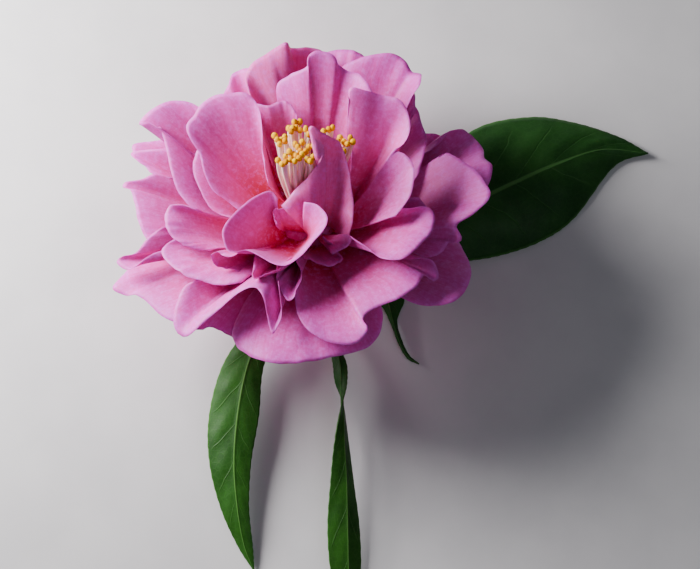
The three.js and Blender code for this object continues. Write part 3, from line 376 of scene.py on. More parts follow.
PETALS = [
  # behind the stamens, from left to right
  # painted light: the pale tone stands in for the light on the turned-over band of this folded petal
  Petal(MIDDLE, 0.16, 0.02, [[-13.5,26,24], [-15,35,29], [-16.5,45,34], [-11,50,36], [-6.5,52.6,38],
    [-4.6,51.2,34], [0,51.8,32], [4.5,50.3,30], [8,44,28]], tone=-0.7, furrow=[0.44, 0.13, -4.5]),
  Petal(OUTER, 0.18, 0, [[-21,28,19], [-25,36.5,22], [-23.2,41,24], [-22.4,43.8,25], [-20,45.3,26],
    [-17,45,27], [-12,41,26]]),
  Petal(OUTER, 0.2, 0, [[-22,34,14], [-21,42,17], [-18.5,46.3,20], [-15.5,47,21], [-10,46,21],
    [-5,40,19]]),
  Petal(INNER, 0.14, 0.03, [[-8,31,22], [-9.3,39.5,30], [-5,42.8,35], [0,45,39], [0.9,48.6,42],
    [4.5,49.2,42.5], [8.3,47,41], [10.6,44,37], [14.5,42.6,37], [17.6,39.5,36], [20,34,32]]),
  Petal(MIDDLE, 0.18, 0, [[-2,42,22], [3,49.5,27], [8,51.3,28], [13,51.2,28], [16.8,49.2,27], [21,45,26],
    [24,38,23]]),
  Petal(MIDDLE, 0.14, -0.02, [[8,39,26], [10,45.6,30], [14,47.8,32], [20,49.5,33], [25.5,49.4,33],
    [29,46.8,31.5], [30.6,44.2,30], [32.6,43.6,32], [32.3,40.8,32], [29.5,36,30], [26,29,26]]),
  # on the right, from the back forward
  Petal(MIDDLE, 0.16, 0, [[24,26,18], [29.5,30,21], [31.3,34.5,23], [31,38,25], [27,39,25]]),
  Petal(OUTER, 0.2, 0, [[28,40,20], [32,33.5,19], [33.8,26.5,18], [34.1,21.5,17], [32.5,15,14],
    [28,8,10]]),
  Petal(OUTER, 0.15, 0, [[26,33,9], [33,27,10], [38,26.3,9], [41.5,24,7], [43,18,4], [38,8,1]]),
  Petal(OUTER, 0.12, -0.03, [[36,21,10], [40.5,25.3,11], [42.6,27.3,11.8], [45.4,27.7,12], [48.5,25.7,12],
    [51.3,21.8,12], [51.8,18.8,13.2], [53.9,16.3,14], [53.3,12.6,13], [50,8,11], [44,3,8]],
    rolls=[-1, -1, 0.5, 1, 1]),
  Petal(MIDDLE, 0.14, 0, [[34,12,10.5], [37.3,17.6,14.8], [40,20.3,17.6], [44,18.3,18], [48.3,15.3,18],
    [51.5,10.8,18], [52.9,7.4,17.5], [49,3.7,16], [44.5,0.8,14], [42.5,-1.5,12], [44,-5,10],
    [40.5,-5.4,9.5], [38.8,-8,8], [35,-9.5,7], [29,-8.3,6]], rolls=[0, 0, 0.6, 1.5, 1.5]),
  Petal(OUTER, 0.05, -0.03, [[41,1,0], [44.5,-6,0], [46.9,-11,0], [47.4,-15,0], [45.3,-20,0],
    [41.8,-23,0.5], [36,-23.4,1], [30,-22.4,2], [23,-19,3]]),
  Petal(MIDDLE, 0.16, 0, [[22,1,13], [27,4,15], [31.8,6.3,16], [34,4,16], [35,-1,14], [33,-5,12]]),
  Petal(INNER, 0.12, -0.05, [[7,-9.4,9], [11.2,-6.8,11], [12.5,-4,13], [16,-6,13], [20,-10,13],
    [24,-11.3,13.5], [28,-10.5,14], [32,-6.3,15], [35.8,-1.2,16], [35.6,2.4,17], [30,3,17], [23,2.5,14]],
    azimuth=-38),
  # painted light: a slightly paler tone on this tall petal, which stands partly in shade
  Petal(INNER, 0.10, 0.05, [[12.2,4,12.5], [12.6,14,19], [12.7,25,28], [11.9,32,35], [11.2,36,39.5],
    [12.6,38.1,42], [17,37.1,41], [22,35.9,39], [26.5,34.8,39], [28.9,31,36], [29.1,26,33], [27,22,30],
    [24.2,20.2,28], [27.5,19.3,28], [30.2,16,26.5], [30.4,11,24], [28.8,6.5,21], [25,1.5,17]],
    azimuth=-22, rolls=[0, 0, 0, 0.4, 1, 1, 1, 1], tone=-0.15, furrow=[0.56, 0.045, 2.6]),
  # the curled hood in the middle and the tall petals to its left
  # painted light: the pale tone of the hood stands in for light that shines through it
  Petal(INNER, 0.13, 0.06, [[-6.5,3,15.5], [-2.5,8.5,21], [1,12.5,26], [3.8,17,30.5], [4.9,21,34.5],
    [2.3,23.2,37.5], [0.6,26,40], [1.6,27,41.5], [4,25.4,39.5], [6.6,24,37], [9,23,35], [10.8,20,32],
    [11.7,14,26], [12.1,7,19.5], [12.3,0,13], [11.6,-4.5,8.5]], azimuth=-55,
    rolls=[-2, -2.5, -1.5, 0.5, 1, 0, -1.5, -2], tone=-0.8),
  Petal(INNER, 0.12, 0, [[-19.5,3.5,10], [-23,6,12], [-27,9,15], [-29.7,14,19], [-31,20,23], [-34,25,27],
    [-34.7,28,29], [-32.4,30.6,30.5], [-31,33.3,32], [-27.3,36,34], [-22,36.6,35], [-18.3,36.9,35.5],
    [-15.8,33.5,33], [-14.2,27,29], [-13.8,19,23], [-12,11,17]], rolls=[1.2]),
  # painted shade: the deeper tone stands in for the shade in this petal's hollow
  Petal(INNER, 0.16, 0, [[-17,29,25], [-15.3,34,28.5], [-11.5,33.5,29], [-7,34.8,30], [-4,31.8,28],
    [-1.5,27,24]], tone=0.4),
  # on the left, from the top down
  Petal(MIDDLE, 0.16, 0, [[-29,1.5,7], [-34,4.5,10], [-37.5,9,13], [-39.6,15,17], [-41,22,21],
    [-42.4,27.2,24], [-43.9,28.7,25.3], [-46.1,29.4,25.4], [-49,29,24.6], [-47.5,31,26], [-43,34.3,28],
    [-39,35.2,28.5], [-34.5,34.2,28], [-31,32,26.5], [-27,26,21]]),
  Petal(MIDDLE, 0.16, 0, [[-38,16,12], [-40.5,23,17], [-42.4,26,19.5], [-46.1,26.5,20.5],
    [-47.9,27.3,21.8], [-49,28.6,23.4], [-46,29,22]]),
  # painted glow and shade: the deeper red stands in for light glowing red through this petal by the
  # stamens
  Petal(INNER, 0.16, 0, [[-23,1,7], [-28.5,5,10], [-31.7,11,14], [-32.9,17,18], [-31.5,21,21],
    [-27,24,22]], tone=0.5),
  Petal(MIDDLE, 0.1, 0, [[-37,20,13], [-44,21.3,14], [-51.3,21,13.5], [-51.3,23,14.5], [-45,23.9,15],
    [-40,25.5,15.5], [-34,26,15]]),
  Petal(MIDDLE, 0.12, 0, [[-36,8.5,6.5], [-41.5,11,9.5], [-45.2,14.3,13], [-47.2,17,14], [-50,18.7,14.5],
    [-51.8,20.3,14.5], [-48,20.7,15.5], [-44,21.1,16.5], [-38,21.5,17], [-32,19,15]]),
  Petal(OUTER, 0.1, -0.02, [[-38,-8,3], [-45.5,-5.6,5], [-48.6,-1,7], [-50,4,9], [-51.6,9,11],
    [-54.1,10,11], [-53.2,11.7,12], [-48,12.5,13], [-44.5,14,14], [-39,12.5,12], [-33,8,8.5]]),
  Petal(MIDDLE, 0.14, 0, [[-28,-8,6], [-35,-6.6,8], [-39,-3.5,10], [-40.6,0.5,12], [-40,3.5,13],
    [-37,3.9,14], [-32,2.3,14]], rolls=[1.6]),
  Petal(OUTER, 0.1, -0.04, [[-33,-9.5,1.5], [-42,-9.2,3], [-48.5,-11.9,3], [-52.5,-13.3,2], [-55,-11.7,2],
    [-53,-10.5,3], [-49.8,-9.6,4], [-46,-5,7], [-42.5,-2.8,8], [-39,-2.5,8], [-37.6,-5,6.5]]),
  Petal(MIDDLE, 0.1, 0, [[-36,-4.5,6], [-41,-7,5.5], [-41.9,-9,5], [-39.7,-12,4.5], [-35.5,-14.6,5],
    [-30,-16.1,5], [-23,-16.9,6], [-18,-16.6,5.5], [-14,-14.5,2.5]], rolls=[1.5]),
  # low in front, from left to right
  Petal(OUTER, 0.02, -0.06, [[-42,-5,-1], [-49,-10,-3], [-53,-14.5,-4], [-56.5,-19,-5], [-53,-21,-5],
    [-49.5,-21.1,-4], [-45.5,-23.8,-4], [-41.5,-27.2,-4], [-37,-28.8,-4], [-31,-27,-3], [-25,-22,-1]]),
  Petal(OUTER, 0.02, -0.06, [[-27,-13,1], [-32.5,-17,3], [-36,-22,1], [-37.7,-28,-2], [-36.4,-31.9,-4],
    [-32,-28.8,0], [-26,-24.7,3], [-20,-20,6], [-14.5,-18.7,8], [-12.2,-21.5,7], [-11.4,-27,3],
    [-9.6,-32.3,0], [-7.7,-28,2], [-7.6,-24.5,4], [-9,-18,6]], rolls=[1.9]),
  Petal(OUTER, 0, -0.05, [[-38,-23,-9], [-36,-28,-9], [-33.3,-30.5,-9], [-30,-31.1,-9], [-27.5,-30.4,-9],
    [-24,-31.8,-9], [-19,-34,-9], [-13,-32,-8]]),
  Petal(OUTER, 0, -0.06, [[-20,-26,-7], [-22,-31,-8], [-20.8,-35,-8], [-16.5,-38.3,-8], [-11,-40.3,-8],
    [-4,-40.7,-8], [4,-39.7,-8], [12,-37.9,-8], [17.5,-36,-8], [20.8,-32.3,-7], [22,-27,-6],
    [20,-21,-4]]),
  Petal(MIDDLE, 0.05, -0.04, [[-4,-20,3], [-2,-28,0], [0.5,-31.3,-1], [5,-33.8,-2], [11,-34.9,-2],
    [15.3,-33.4,-1], [16.6,-31,0], [15.4,-28.8,3], [17,-26,4], [20.5,-24,5], [26,-22.2,6], [30.7,-18.7,7],
    [33.6,-14.7,8], [37.2,-16.3,6], [36.2,-13,8], [34.3,-11.6,9], [28,-11,9]]),
  # the cup in front of the stamens and the small petals under it
  Petal(INNER, 0.22, 0.10, [[-8.8,6,17], [-10.5,8.2,19], [-14,6.9,19], [-18,3.9,18], [-21.8,0,17],
    [-23.6,-3.8,15.5], [-22,-8.4,14], [-17,-7.7,14.5], [-12,-10,14], [-6.5,-11.8,14], [-2.8,-9.3,14.5],
    [1,-5.2,16], [4.6,-1,18], [5,1.4,19], [2.5,4.2,19.5], [-1,5.2,19]], rolls=[1.5]),
  Petal(INNER, 0.18, 0.06, [[-9.5,-1,11], [-9.7,3.3,14], [-5,4.7,15.5], [-1,5.3,16.5], [2,3,16]]),
  # painted shade: the deeper tone darkens this petal, which lies in shade under the cup
  Petal(MIDDLE, 0.12, 0.03, [[-20,-15,3.5], [-26,-13,6.5], [-27.5,-9.7,10.5], [-25.5,-8.7,11.5],
    [-22.5,-9.7,11.5], [-18,-8.3,11.5], [-13.5,-9.5,7.5]], tone=0.3),
  # painted shade: the deeper tone darkens this petal, which lies in shade under the cup
  Petal(MIDDLE, 0.1, 0.05, [[-14.2,-8,8], [-14.7,-13,9.5], [-15.2,-17.1,8.5], [-11.5,-16.3,8.5],
    [-7.5,-14.4,9], [-4,-11,8]], rolls=[1, 1, -2, -2], tone=0.6),
  Petal(MIDDLE, 0.08, 0.03, [[-8,-12,8], [-8.3,-17,6], [-7,-20.7,5], [-5,-22.7,4.5], [-3,-19.7,5],
    [-2.3,-15,6.5], [-3.5,-11,8]]),
  Petal(MIDDLE, 0.1, 0.03, [[-1,-10,8], [4,-12.1,7], [9.8,-11,7], [8,-8,8], [4,-5,9]]),
  # the guard petals that close the ring behind
  guard(8, 44, 1, 24),
  guard(38, 47, 0, 22),
  guard(70, 52.5, -3.6, 22),
  guard(106, 52.5, -3, 21),
  guard(138, 47, 1, 22),
  guard(168, 44, 2, 20),
]


def petal_grid(one, across, along):
    """The middle surface of a petal: a vein, a cubic Bezier, from the root's arc to each point of the rim.
    Its handles lie at 0.33 and 0.7 of the vein, bellied outward by cup and brow times its length."""
    rim = face_point(one.rim)
    edge = curve(rim, chord_shares(rim), across)
    middle = rim.mean(axis=0)
    under_rim = math.atan2(middle @ BACK, middle @ SIDE)
    angle = under_rim if one.azimuth is None else math.radians(one.azimuth)
    ends = np.arctan2(rim[[0, -1]] @ BACK, rim[[0, -1]] @ SIDE)
    direction = np.sign(math.sin(ends[1] - ends[0]))
    root_radius, root_height = one.ring
    root = ring_point(root_radius, angle + CLAW_SPREAD * (2 * across - 1) * direction, root_height)
    radial = ring_point(1, angle, 0)
    vein = edge - root
    length = np.linalg.norm(vein, axis=1, keepdims=True)
    outward = unit((vein @ AXIS)[:, None] * radial - (vein @ radial)[:, None] * AXIS) * length
    low = root + 0.33 * vein + one.cup * outward
    high = root + 0.7 * vein + one.brow * outward
    return bezier(root, low, high, edge, along), radial


def petal_surface(one, index, across, along):
    """A petal with its life: the middle surface, moved along its normals by long pleats that run with the
    veins, a ruffle and a crumple that grow towards the rim, a rim that rolls by its own amounts, and in
    some a furrow or a ridge, a bell curve across the veins; the rim also frays along them."""
    grid, radial = petal_grid(one, across, along)
    normals = grid_normals(grid)
    if np.mean(normals @ (AXIS - 0.8 * radial)) < 0:
        normals = -normals
    rng = np.random.default_rng(SEED + index)

    def line(stretches):
        return smooth_noise(len(across), rng, stretches)[:, None]

    spread = min(np.linalg.norm(grid[-1, -1] - grid[0, -1]) / FULL_RUFFLE, 1)
    pleats = line(PLEATS) * (along * (1 - 0.35 * along))
    ruffle = line(RUFFLES) * along**3
    crumple = line(CRUMPLES) * along**6
    roll = np.interp(across, steps(len(one.rolls)), one.rolls)[:, None]
    roll = roll * (0.6 + 0.4 * line(ROLL_STRETCHES))
    height = PLEAT * pleats + RUFFLE * spread * ruffle + CRUMPLE * crumple - roll * along**14
    place, width, depth = one.furrow
    trough = np.exp(-((across - place) / width)**2)[:, None]
    height = height - depth * trough * 4 * along * (1 - along)
    fray = FRAY * line(FRAYS) * along**10
    ahead = unit(np.gradient(grid, axis=1))
    return grid + height[..., None] * normals + fray[..., None] * ahead


def make_petals(name, ring, material):
    """One mesh of a ring's petals, each a thin closed blade that thins towards its rim."""
    surface = Surface()
    across, along = steps(PETAL_COLUMNS), steps(PETAL_ROWS)
    half = PETAL_THICKNESS / 2 * (1 - 0.8 * along**6)
    for index, one in enumerate(PETALS):
        if one.ring == ring:
            grid = petal_surface(one, index, across, along)
            add_blade(surface, grid, half, pairs(across + index, along), one.tone)
    return surface.build(name, [material], "corolla")


def make_receptacle(material):
    """The short solid disc that the petals grow from: a profile turned round the bloom's axis."""
    surface = Surface()
    add_turned(surface, [[0,-5], [6.5,-5], [10.0,-3.4], [10.3,-1], [9.2,1.8], [7.6,3.2], [4,3.5],
                         [0,3.6]], sides=48)
    return surface.build("receptacle", [material], "corolla")


# ---- stamens and pistil ----

def filament_paths():
    """Paths of the filaments, (stamens, points, 3): cubic Beziers up from the column, bellied out, to the
    anthers' places, at heights that differ by a sine of the golden angle."""
    side, back = np.array(ANTHERS).T
    index = np.arange(len(ANTHERS))
    rng = np.random.default_rng(SEED)
    reach = np.hypot(side, back)
    angle = np.arctan2(back, side) + rng.uniform(-0.15, 0.15, len(ANTHERS))
    height = BRUSH_HEIGHT + 0.5 * np.sin(GOLDEN_ANGLE * index)
    tip = side[:, None] * SIDE + back[:, None] * BACK + height[:, None] * AXIS
    root = ring_point(COLUMN_RADIUS - 0.9, angle, 5.5)
    low = ring_point(COLUMN_RADIUS + 0.06 * reach, angle, 0.42 * height)
    high = ring_point(0.92 * reach, angle, 0.74 * height) + rng.uniform(-0.6, 0.6, (len(ANTHERS), 3))
    return bezier(root, low, high, tip, steps(14))


def clear_of(paths, petals, room):
    """The paths whose upper part keeps `room` metres from every petal."""
    trees = [BVHTree.FromPolygons([v.co for v in p.data.vertices], [f.vertices for f in p.data.polygons])
             for p in petals]
    return [path for path in paths
            if min(t.find_nearest(Vector(spot))[3] for t in trees for spot in to_part(path[4:])) > room]


def make_filaments(paths, material):
    """The filaments, thin rods that swell towards the foot, and the fluted column they are fused in."""
    surface = Surface()
    for path in paths:
        radii = FILAMENT_TIP + (FILAMENT_FOOT - FILAMENT_TIP) * np.linspace(1, 0, len(path))**0.7
        add_rod(surface, path, radii, sides=10, tone=steps(len(path) + 2)[:, None])
    turn = full_turn(4 * COLUMN_FLUTES)[None, :]
    outer, inner = COLUMN_RADIUS, COLUMN_BORE
    outline = np.array([[inner, COLUMN_FOOT], [outer - 0.1, COLUMN_FOOT], [outer, 5], [outer - 0.2, 7.5],
                        [outer - 0.5, COLUMN_TOP], [inner + 0.3, COLUMN_TOP], [inner, 7],
                        [inner, COLUMN_FOOT]])
    radius, height = outline.T[..., None]
    add_tube(surface, ring_point(radius + FLUTE_DEPTH * np.cos(turn * COLUMN_FLUTES), turn, height))
    return surface.build("filaments", [material], "stamens")


def make_anthers(paths, material):
    """The anthers: on each filament's end an ellipsoid drawn long, with a furrow down its two sides:
    radius = width sin(t) (1 - furrow |cos(turn)|^6)."""
    surface = Surface()
    rng = np.random.default_rng(SEED + 7)
    t = np.linspace(0, np.pi, 9)
    turn = full_turn(12)
    for index, path in enumerate(paths):
        along = unit(path[-1] - path[-2] + rng.uniform(-0.25, 0.25, 3))
        across = unit(np.cross(along, np.array([math.sin(index), math.cos(index), 0.3])))
        third = np.cross(along, across)
        length, width = rng.uniform(*ANTHER_SIZES), rng.uniform(*ANTHER_SIZES)
        radius = width * np.sin(t)[:, None]**0.8 * (1 - ANTHER_FURROW * np.abs(np.cos(turn))[None, :]**6)
        grid = (path[-1] - 0.2 * along + length * np.cos(np.pi - t)[:, None, None] * along
                + (radius * np.cos(turn))[..., None] * across
                + (0.8 * radius * np.sin(turn))[..., None] * third)
        add_tube(surface, grid, tone=rng.uniform(0, 1))
    return surface.build("anthers", [material], "stamens")


def make_pistil(material):
    """The pistil: a turned ovary and style, and lobes that curl out from the style's top."""
    surface = Surface()
    add_turned(surface, [[0,3.95], [1.8,4], [2.1,5.2], [1.9,6.4], [1.2,7.6], [0.65,9], [0.5,12],
                         [0.45,18], [0.5, STYLE_TOP], [0, STYLE_TOP + 0.2]], sides=24)
    curl = np.array([(0.1, -1.5), (0.25, -0.3), (0.9, 0.8), (1.6, 1.5), (2.2, 1.6)])
    for lobe in range(STIGMA_LOBES):
        angle = math.radians(90 + 360 / STIGMA_LOBES * lobe)
        path = ring_point(curl[:, 0], angle, STYLE_TOP + curl[:, 1])
        add_rod(surface, path, [0.3, 0.34, 0.32, 0.34, 0.3], sides=8, tone=1.0)
    return surface.build("pistil_fine", [material], "pistil")


# ---- calyx and twig ----

def make_calyx(material):
    """Overlapping rounded sepals on a small turned cup: each sepal hollows up from the foot, with its
    rim drawn in by 1 - 0.25 t^2 towards its sides."""
    surface = Surface()
    add_turned(surface, [[0,-13.5], [2.3,-13.5], [2.9,-12.8], [3.6,-12.0], [6.3,-10.2], [7.5,-8],
                         [7,-5.4], [0,-5.4]], sides=36)
    across, along = np.linspace(-1, 1, 17), steps(13)
    tip = 1 - 0.25 * across**2
    half = SEPAL_THICKNESS / 2 * (1 - 0.5 * along**4)
    for index in range(SEPALS):
        angle = index * GOLDEN_ANGLE
        layer = index / (SEPALS - 1)
        rows = np.stack([
            ring_point(3, angle + 0.9 * across, -12.2),
            ring_point(8.2 - 0.6 * layer, angle + 0.62 * across, -10.4 + 1.2 * layer),
            ring_point((11.2 - 1.2 * layer) * (0.9 + 0.1 * tip), angle + 0.62 * across,
                       -8.6 + 2.6 * tip - 1.2 * layer)], 1)
        grid = np.stack([curve(row, steps(3), along) for row in rows])
        add_blade(surface, grid, half, pairs(steps(len(across)), along), layer)
    return surface.build("sepals", [material], "calyx")


def make_twig(material):
    """The twig: rings along its route, swollen at the nodes by a bell curve and roughened by sines."""
    surface = Surface()
    route = surface_point(TWIG)
    shares = steps(70)
    path = curve(route, chord_shares(route), shares)
    shares = shares[:, None]
    swelling = np.exp(-((shares - TWIG_NODES) / 0.035)**2).sum(1, keepdims=True)
    waves = BARK_WAVE * np.sin(7 * full_turn(TWIG_SIDES)) * np.sin(40 * shares)
    radii = TWIG_RADIUS * (0.92 + 0.08 * shares) + NODE_SWELLING * swelling + waves
    radii[[0, -1]] *= 0.93
    add_rod(surface, path, radii, TWIG_SIDES, tone=steps(len(path) + 2)[:, None])
    return surface.build("twig_fine", [material], "twig")


# ---- leaves ----

# A leaf has how far its halves arch, the points [x, y, lift] of its petiole, of its midrib and of its
# edges, which both end at the midrib's tip, how many teeth each edge has, and whether its underside is up.
Leaf = namedtuple("Leaf", "arch petiole rib left right teeth flipped", defaults=(30, False))
LEAVES = {
  "leaf_1": Leaf(1.6, [[1.8,-19.2,3.9], [9,-15.5,6]],
    [[17,-10,6.5], [27,-4.5,9], [38,1.2,9.5], [50,6.6,9], [62,12.4,8.5], [74,17.9,7.5], [88,22.4,4.6],
    [102.3,21.3,2]],
    [[17,-9,6.3], [25,3,6], [36,15.4,4.5], [50,28.4,3.5], [66.5,32.2,3], [79.7,30.6,3], [93,26.4,2.6]],
    [[17,-11,6.3], [31,-13,6], [45,-11.5,4], [57,-9.6,2], [69.2,-5.4,1], [79.5,1.6,0.6], [92,17.4,1]]),
  "leaf_2": Leaf(0.8, [[-1.4,-23.9,2.8], [-5.5,-24,4.6]],
    [[-9,-25,6], [-14,-33,7.6], [-18,-43,8], [-20.5,-56,8], [-21.5,-70,7.2], [-20.5,-83,5.6],
    [-18.5,-94,3], [-15.5,-101.7,1]],
    [[-9.5,-25,5.8], [-19,-33,6.2], [-25.5,-43,6], [-29,-57,5.8], [-28.8,-70,5.2], [-25.5,-83,3.8],
    [-20.5,-94,1.8]],
    [[-8.5,-25,5.8], [-10.5,-34,6.8], [-13.5,-44,7], [-14.5,-57,7], [-16.6,-70,6.4], [-17.2,-83,5],
    [-16.1,-94,2.6]]),
  "leaf_3": Leaf(0.5, [[1.4,-26.8,2.4], [5,-30,3.8]],
    [[6,-33,5], [9.3,-41,6.4], [9.8,-47,7], [10,-53,7], [10.4,-63.4,7.2], [11.2,-75.7,7], [11.6,-90,6],
    [12,-104.3,3.2], [13,-113,0.8]],
    [[6.6,-33,4.6], [11,-41,6], [11.4,-47,8], [10,-53,9.5], [7.9,-63.4,8.4], [6.6,-75.7,7.6], [5.8,-90,6],
    [7.4,-104.3,3]],
    [[5.4,-33,4.6], [7.2,-41,5], [8,-47,4.4], [10.1,-53,4], [11.6,-63.4,4], [13.2,-75.7,3.8], [15,-90,3],
    [15.2,-104.3,1.4]]),
  "leaf_4": Leaf(0.8, [[1.9,-14.8,7], [6.2,-13.5,4.4]],
    [[10,-12,2.6], [15.5,-12.5,2.8], [20,-16.5,2.8], [23.3,-23,2.6], [25,-29,2.2], [27,-35.5,1.8],
    [29.5,-39.8,1.4], [32.8,-41.9,1]],
    [[10,-12.6,2.4], [13,-17.5,1.2], [17.5,-22,0.8], [22,-25,0.8], [24.6,-30.1,1], [26.7,-35.6,1],
    [29.4,-40.1,0.9]],
    [[10,-11.4,2.4], [17.5,-7.5,1.2], [25.5,-11.5,0.8], [28.6,-21.5,0.8], [26.2,-29,1], [27.6,-35,1],
    [29.8,-39.4,0.9]], teeth=16, flipped=True),
}


def leaf_grid(shape):
    """A leaf's middle surface between its midrib and edges. The edges rise to forward-pointing teeth,
    each half arches by a sine, and slow folds lie between the side veins; base and tip draw in."""
    share = steps(shape.teeth * ROWS_PER_TOOTH + 1)
    rib, left, right = (curve(surface_point(points), steps(len(points)), share) for points in
                        (shape.rib, shape.left + shape.rib[-1:], shape.right + shape.rib[-1:]))
    phase = (share * shape.teeth) % 1
    tooth = np.where(phase < TOOTH_POINT, (phase / TOOTH_POINT)**1.6, (1 - phase) / (1 - TOOTH_POINT))
    tooth = TOOTH_DEPTH * tooth * np.clip(np.minimum(share, 1 - share) * 12, 0, 1)
    w = np.linspace(-1, 1, LEAF_COLUMNS)
    halves = []
    for edge, side in ((left, w[w < 0]), (right, w[w >= 0])):
        outward = edge - rib
        edge = edge + unit(outward) * tooth[:, None]
        side = np.abs(side)[None, :]
        width = np.linalg.norm(outward, axis=1)[:, None]
        folds = FOLD * np.sin(2 * np.pi * (share[:, None] * SIDE_VEINS - VEIN_SLANT * side))
        lift = shape.arch * width / WIDE_HALF + folds * np.clip(width / FOLDED_HALF, 0, 1)
        lift = lift * np.sin(np.pi * side)
        halves.append(rib[:, None] + (edge - rib)[:, None] * side[..., None] + lift[..., None] * UP)
    grid, middle = np.concatenate(halves, 1), LEAF_COLUMNS // 2
    grid[0] = grid[0, middle] + (grid[1] - grid[1, middle]) * 0.5
    grid[-1] = grid[-1, middle] + (grid[-2] - grid[-2, middle]) * 0.3
    return grid, share, w


def make_leaf(name, shape, materials):
    """A leaf: the blade, the midrib that stands out of it, and the petiole down to the twig."""
    grid, share, w = leaf_grid(shape)
    surface = Surface()
    midrib = MIDRIB_HEIGHT * np.exp(-(w / 0.05)**2)[None, :] * (1 - 0.8 * share)[:, None]
    add_blade(surface, grid, LEAF_THICKNESS / 2 + midrib, pairs(share, (w + 1) / 2),
              front_slot=0 if shape.flipped else 1, back_slot=1 if shape.flipped else 0)
    rib = surface_point(shape.rib)
    stalk = np.concatenate([surface_point(shape.petiole), rib[:1],
                            curve(rib, steps(len(rib)), np.array([0.03, 0.06]))])
    path = curve(stalk, chord_shares(stalk), steps(24))
    add_rod(surface, path, np.linspace(1.1, 0.6, len(path)), sides=12, slot=2)
    return surface.build(name + "_fine", materials, name)


# ---- materials ----

def arithmetic(operation):
    """A method that does one kind of arithmetic with nodes."""
    return lambda value, *others: value.shader.math(operation, value, *others)


class Value:
    """An output of a node, which can be reckoned with like a number."""
    __add__, __sub__, __mul__ = arithmetic("ADD"), arithmetic("SUBTRACT"), arithmetic("MULTIPLY")
    __pow__, __abs__ = arithmetic("POWER"), arithmetic("ABSOLUTE")

    def __init__(self, shader, socket):
        self.shader, self.socket = shader, socket


class Shader:
    """A material's node tree: each call adds a node and returns one of its outputs."""

    def __init__(self, name):
        self.material = bpy.data.materials.new(name)
        self.material.use_nodes = True
        self.tree = self.material.node_tree
        self.principled = self.tree.nodes["Principled BSDF"]

    def feed(self, socket, value):
        """Links a value to a socket, or sets the socket to a number, a vector or a colour."""
        if isinstance(value, Value):
            self.tree.links.new(value.socket, socket)
        else:
            socket.default_value = (*value, 1) if socket.type == "RGBA" else value

    def node(self, kind, output=0, inputs=(), **settings):
        """A node with its settings and inputs."""
        made = self.tree.nodes.new("ShaderNode" + kind)
        for key, value in settings.items():
            setattr(made, key, value)
        for place, value in dict(inputs).items():
            self.feed(made.inputs[place], value)
        return Value(self, made.outputs[output])

    def math(self, operation, *values):
        """Arithmetic on one or two values."""
        return self.node("Math", operation=operation, inputs=enumerate(values))

    def larger(self, a, b):
        """The larger of two values."""
        return self.math("MAXIMUM", a, b)

    def remap(self, value, low=0.3, high=0.7, to_low=0.0, to_high=1.0):
        """A value carried smoothly from one range to another, clamped."""
        return self.node("MapRange", interpolation_type="SMOOTHSTEP",
                         inputs=enumerate((value, low, high, to_low, to_high)))

    def mix(self, share, a, b):
        """Two colours mixed by a share."""
        return self.node("Mix", output=2, data_type="RGBA", inputs={0: share, 6: a, 7: b})

    def ramp(self, value, stops):
        """A colour ramp with stops of (place, colour)."""
        out = self.node("ValToRGB", inputs={0: value})
        elements = out.socket.node.color_ramp.elements
        while len(elements) < len(stops):
            elements.new(0.5)
        for element, (place, colour) in zip(elements, stops):
            element.position = place
            element.color = (*colour, 1)
        return out

    def vector(self, x, y):
        """A vector from two values."""
        return self.node("CombineXYZ", inputs={0: x, 1: y})

    def noise(self, vector, scale, detail=3.0, roughness=0.55):
        """Noise at a scale."""
        return self.node("TexNoise", inputs={
            "Vector": vector, "Scale": scale, "Detail": detail, "Roughness": roughness})

    def uv(self):
        """The piece's own UV as two values."""
        place = self.node("TexCoord", output="UV")
        return [self.node("SeparateXYZ", output=axis, inputs={0: place}) for axis in (0, 1)]

    def place(self):
        """Object coordinates, in metres."""
        return self.node("TexCoord", output="Object")

    def tone(self):
        """The piece's tone attribute."""
        return self.node("Attribute", output="Fac", attribute_name="tone")

    def bump(self, height, strength, distance):
        """Bump from a height; strength is a share and distance is in metres."""
        self.feed(self.principled.inputs["Normal"], self.node("Bump", inputs={
            "Height": height, "Strength": strength, "Distance": distance}))

    def finish(self, colour, roughness, flesh=(0.0,), **sockets):
        """Sets the Principled sockets and returns the material. flesh is the weight, the radius and the
        scale of the light that sinks into thin living tissue."""
        sockets.update(zip(("Subsurface_Weight", "Subsurface_Radius", "Subsurface_Scale"), flesh))
        for key, value in {"Base_Color": colour, "Roughness": roughness, **sockets}.items():
            self.feed(self.principled.inputs[key.replace("_", " ")], value)
        return self.material


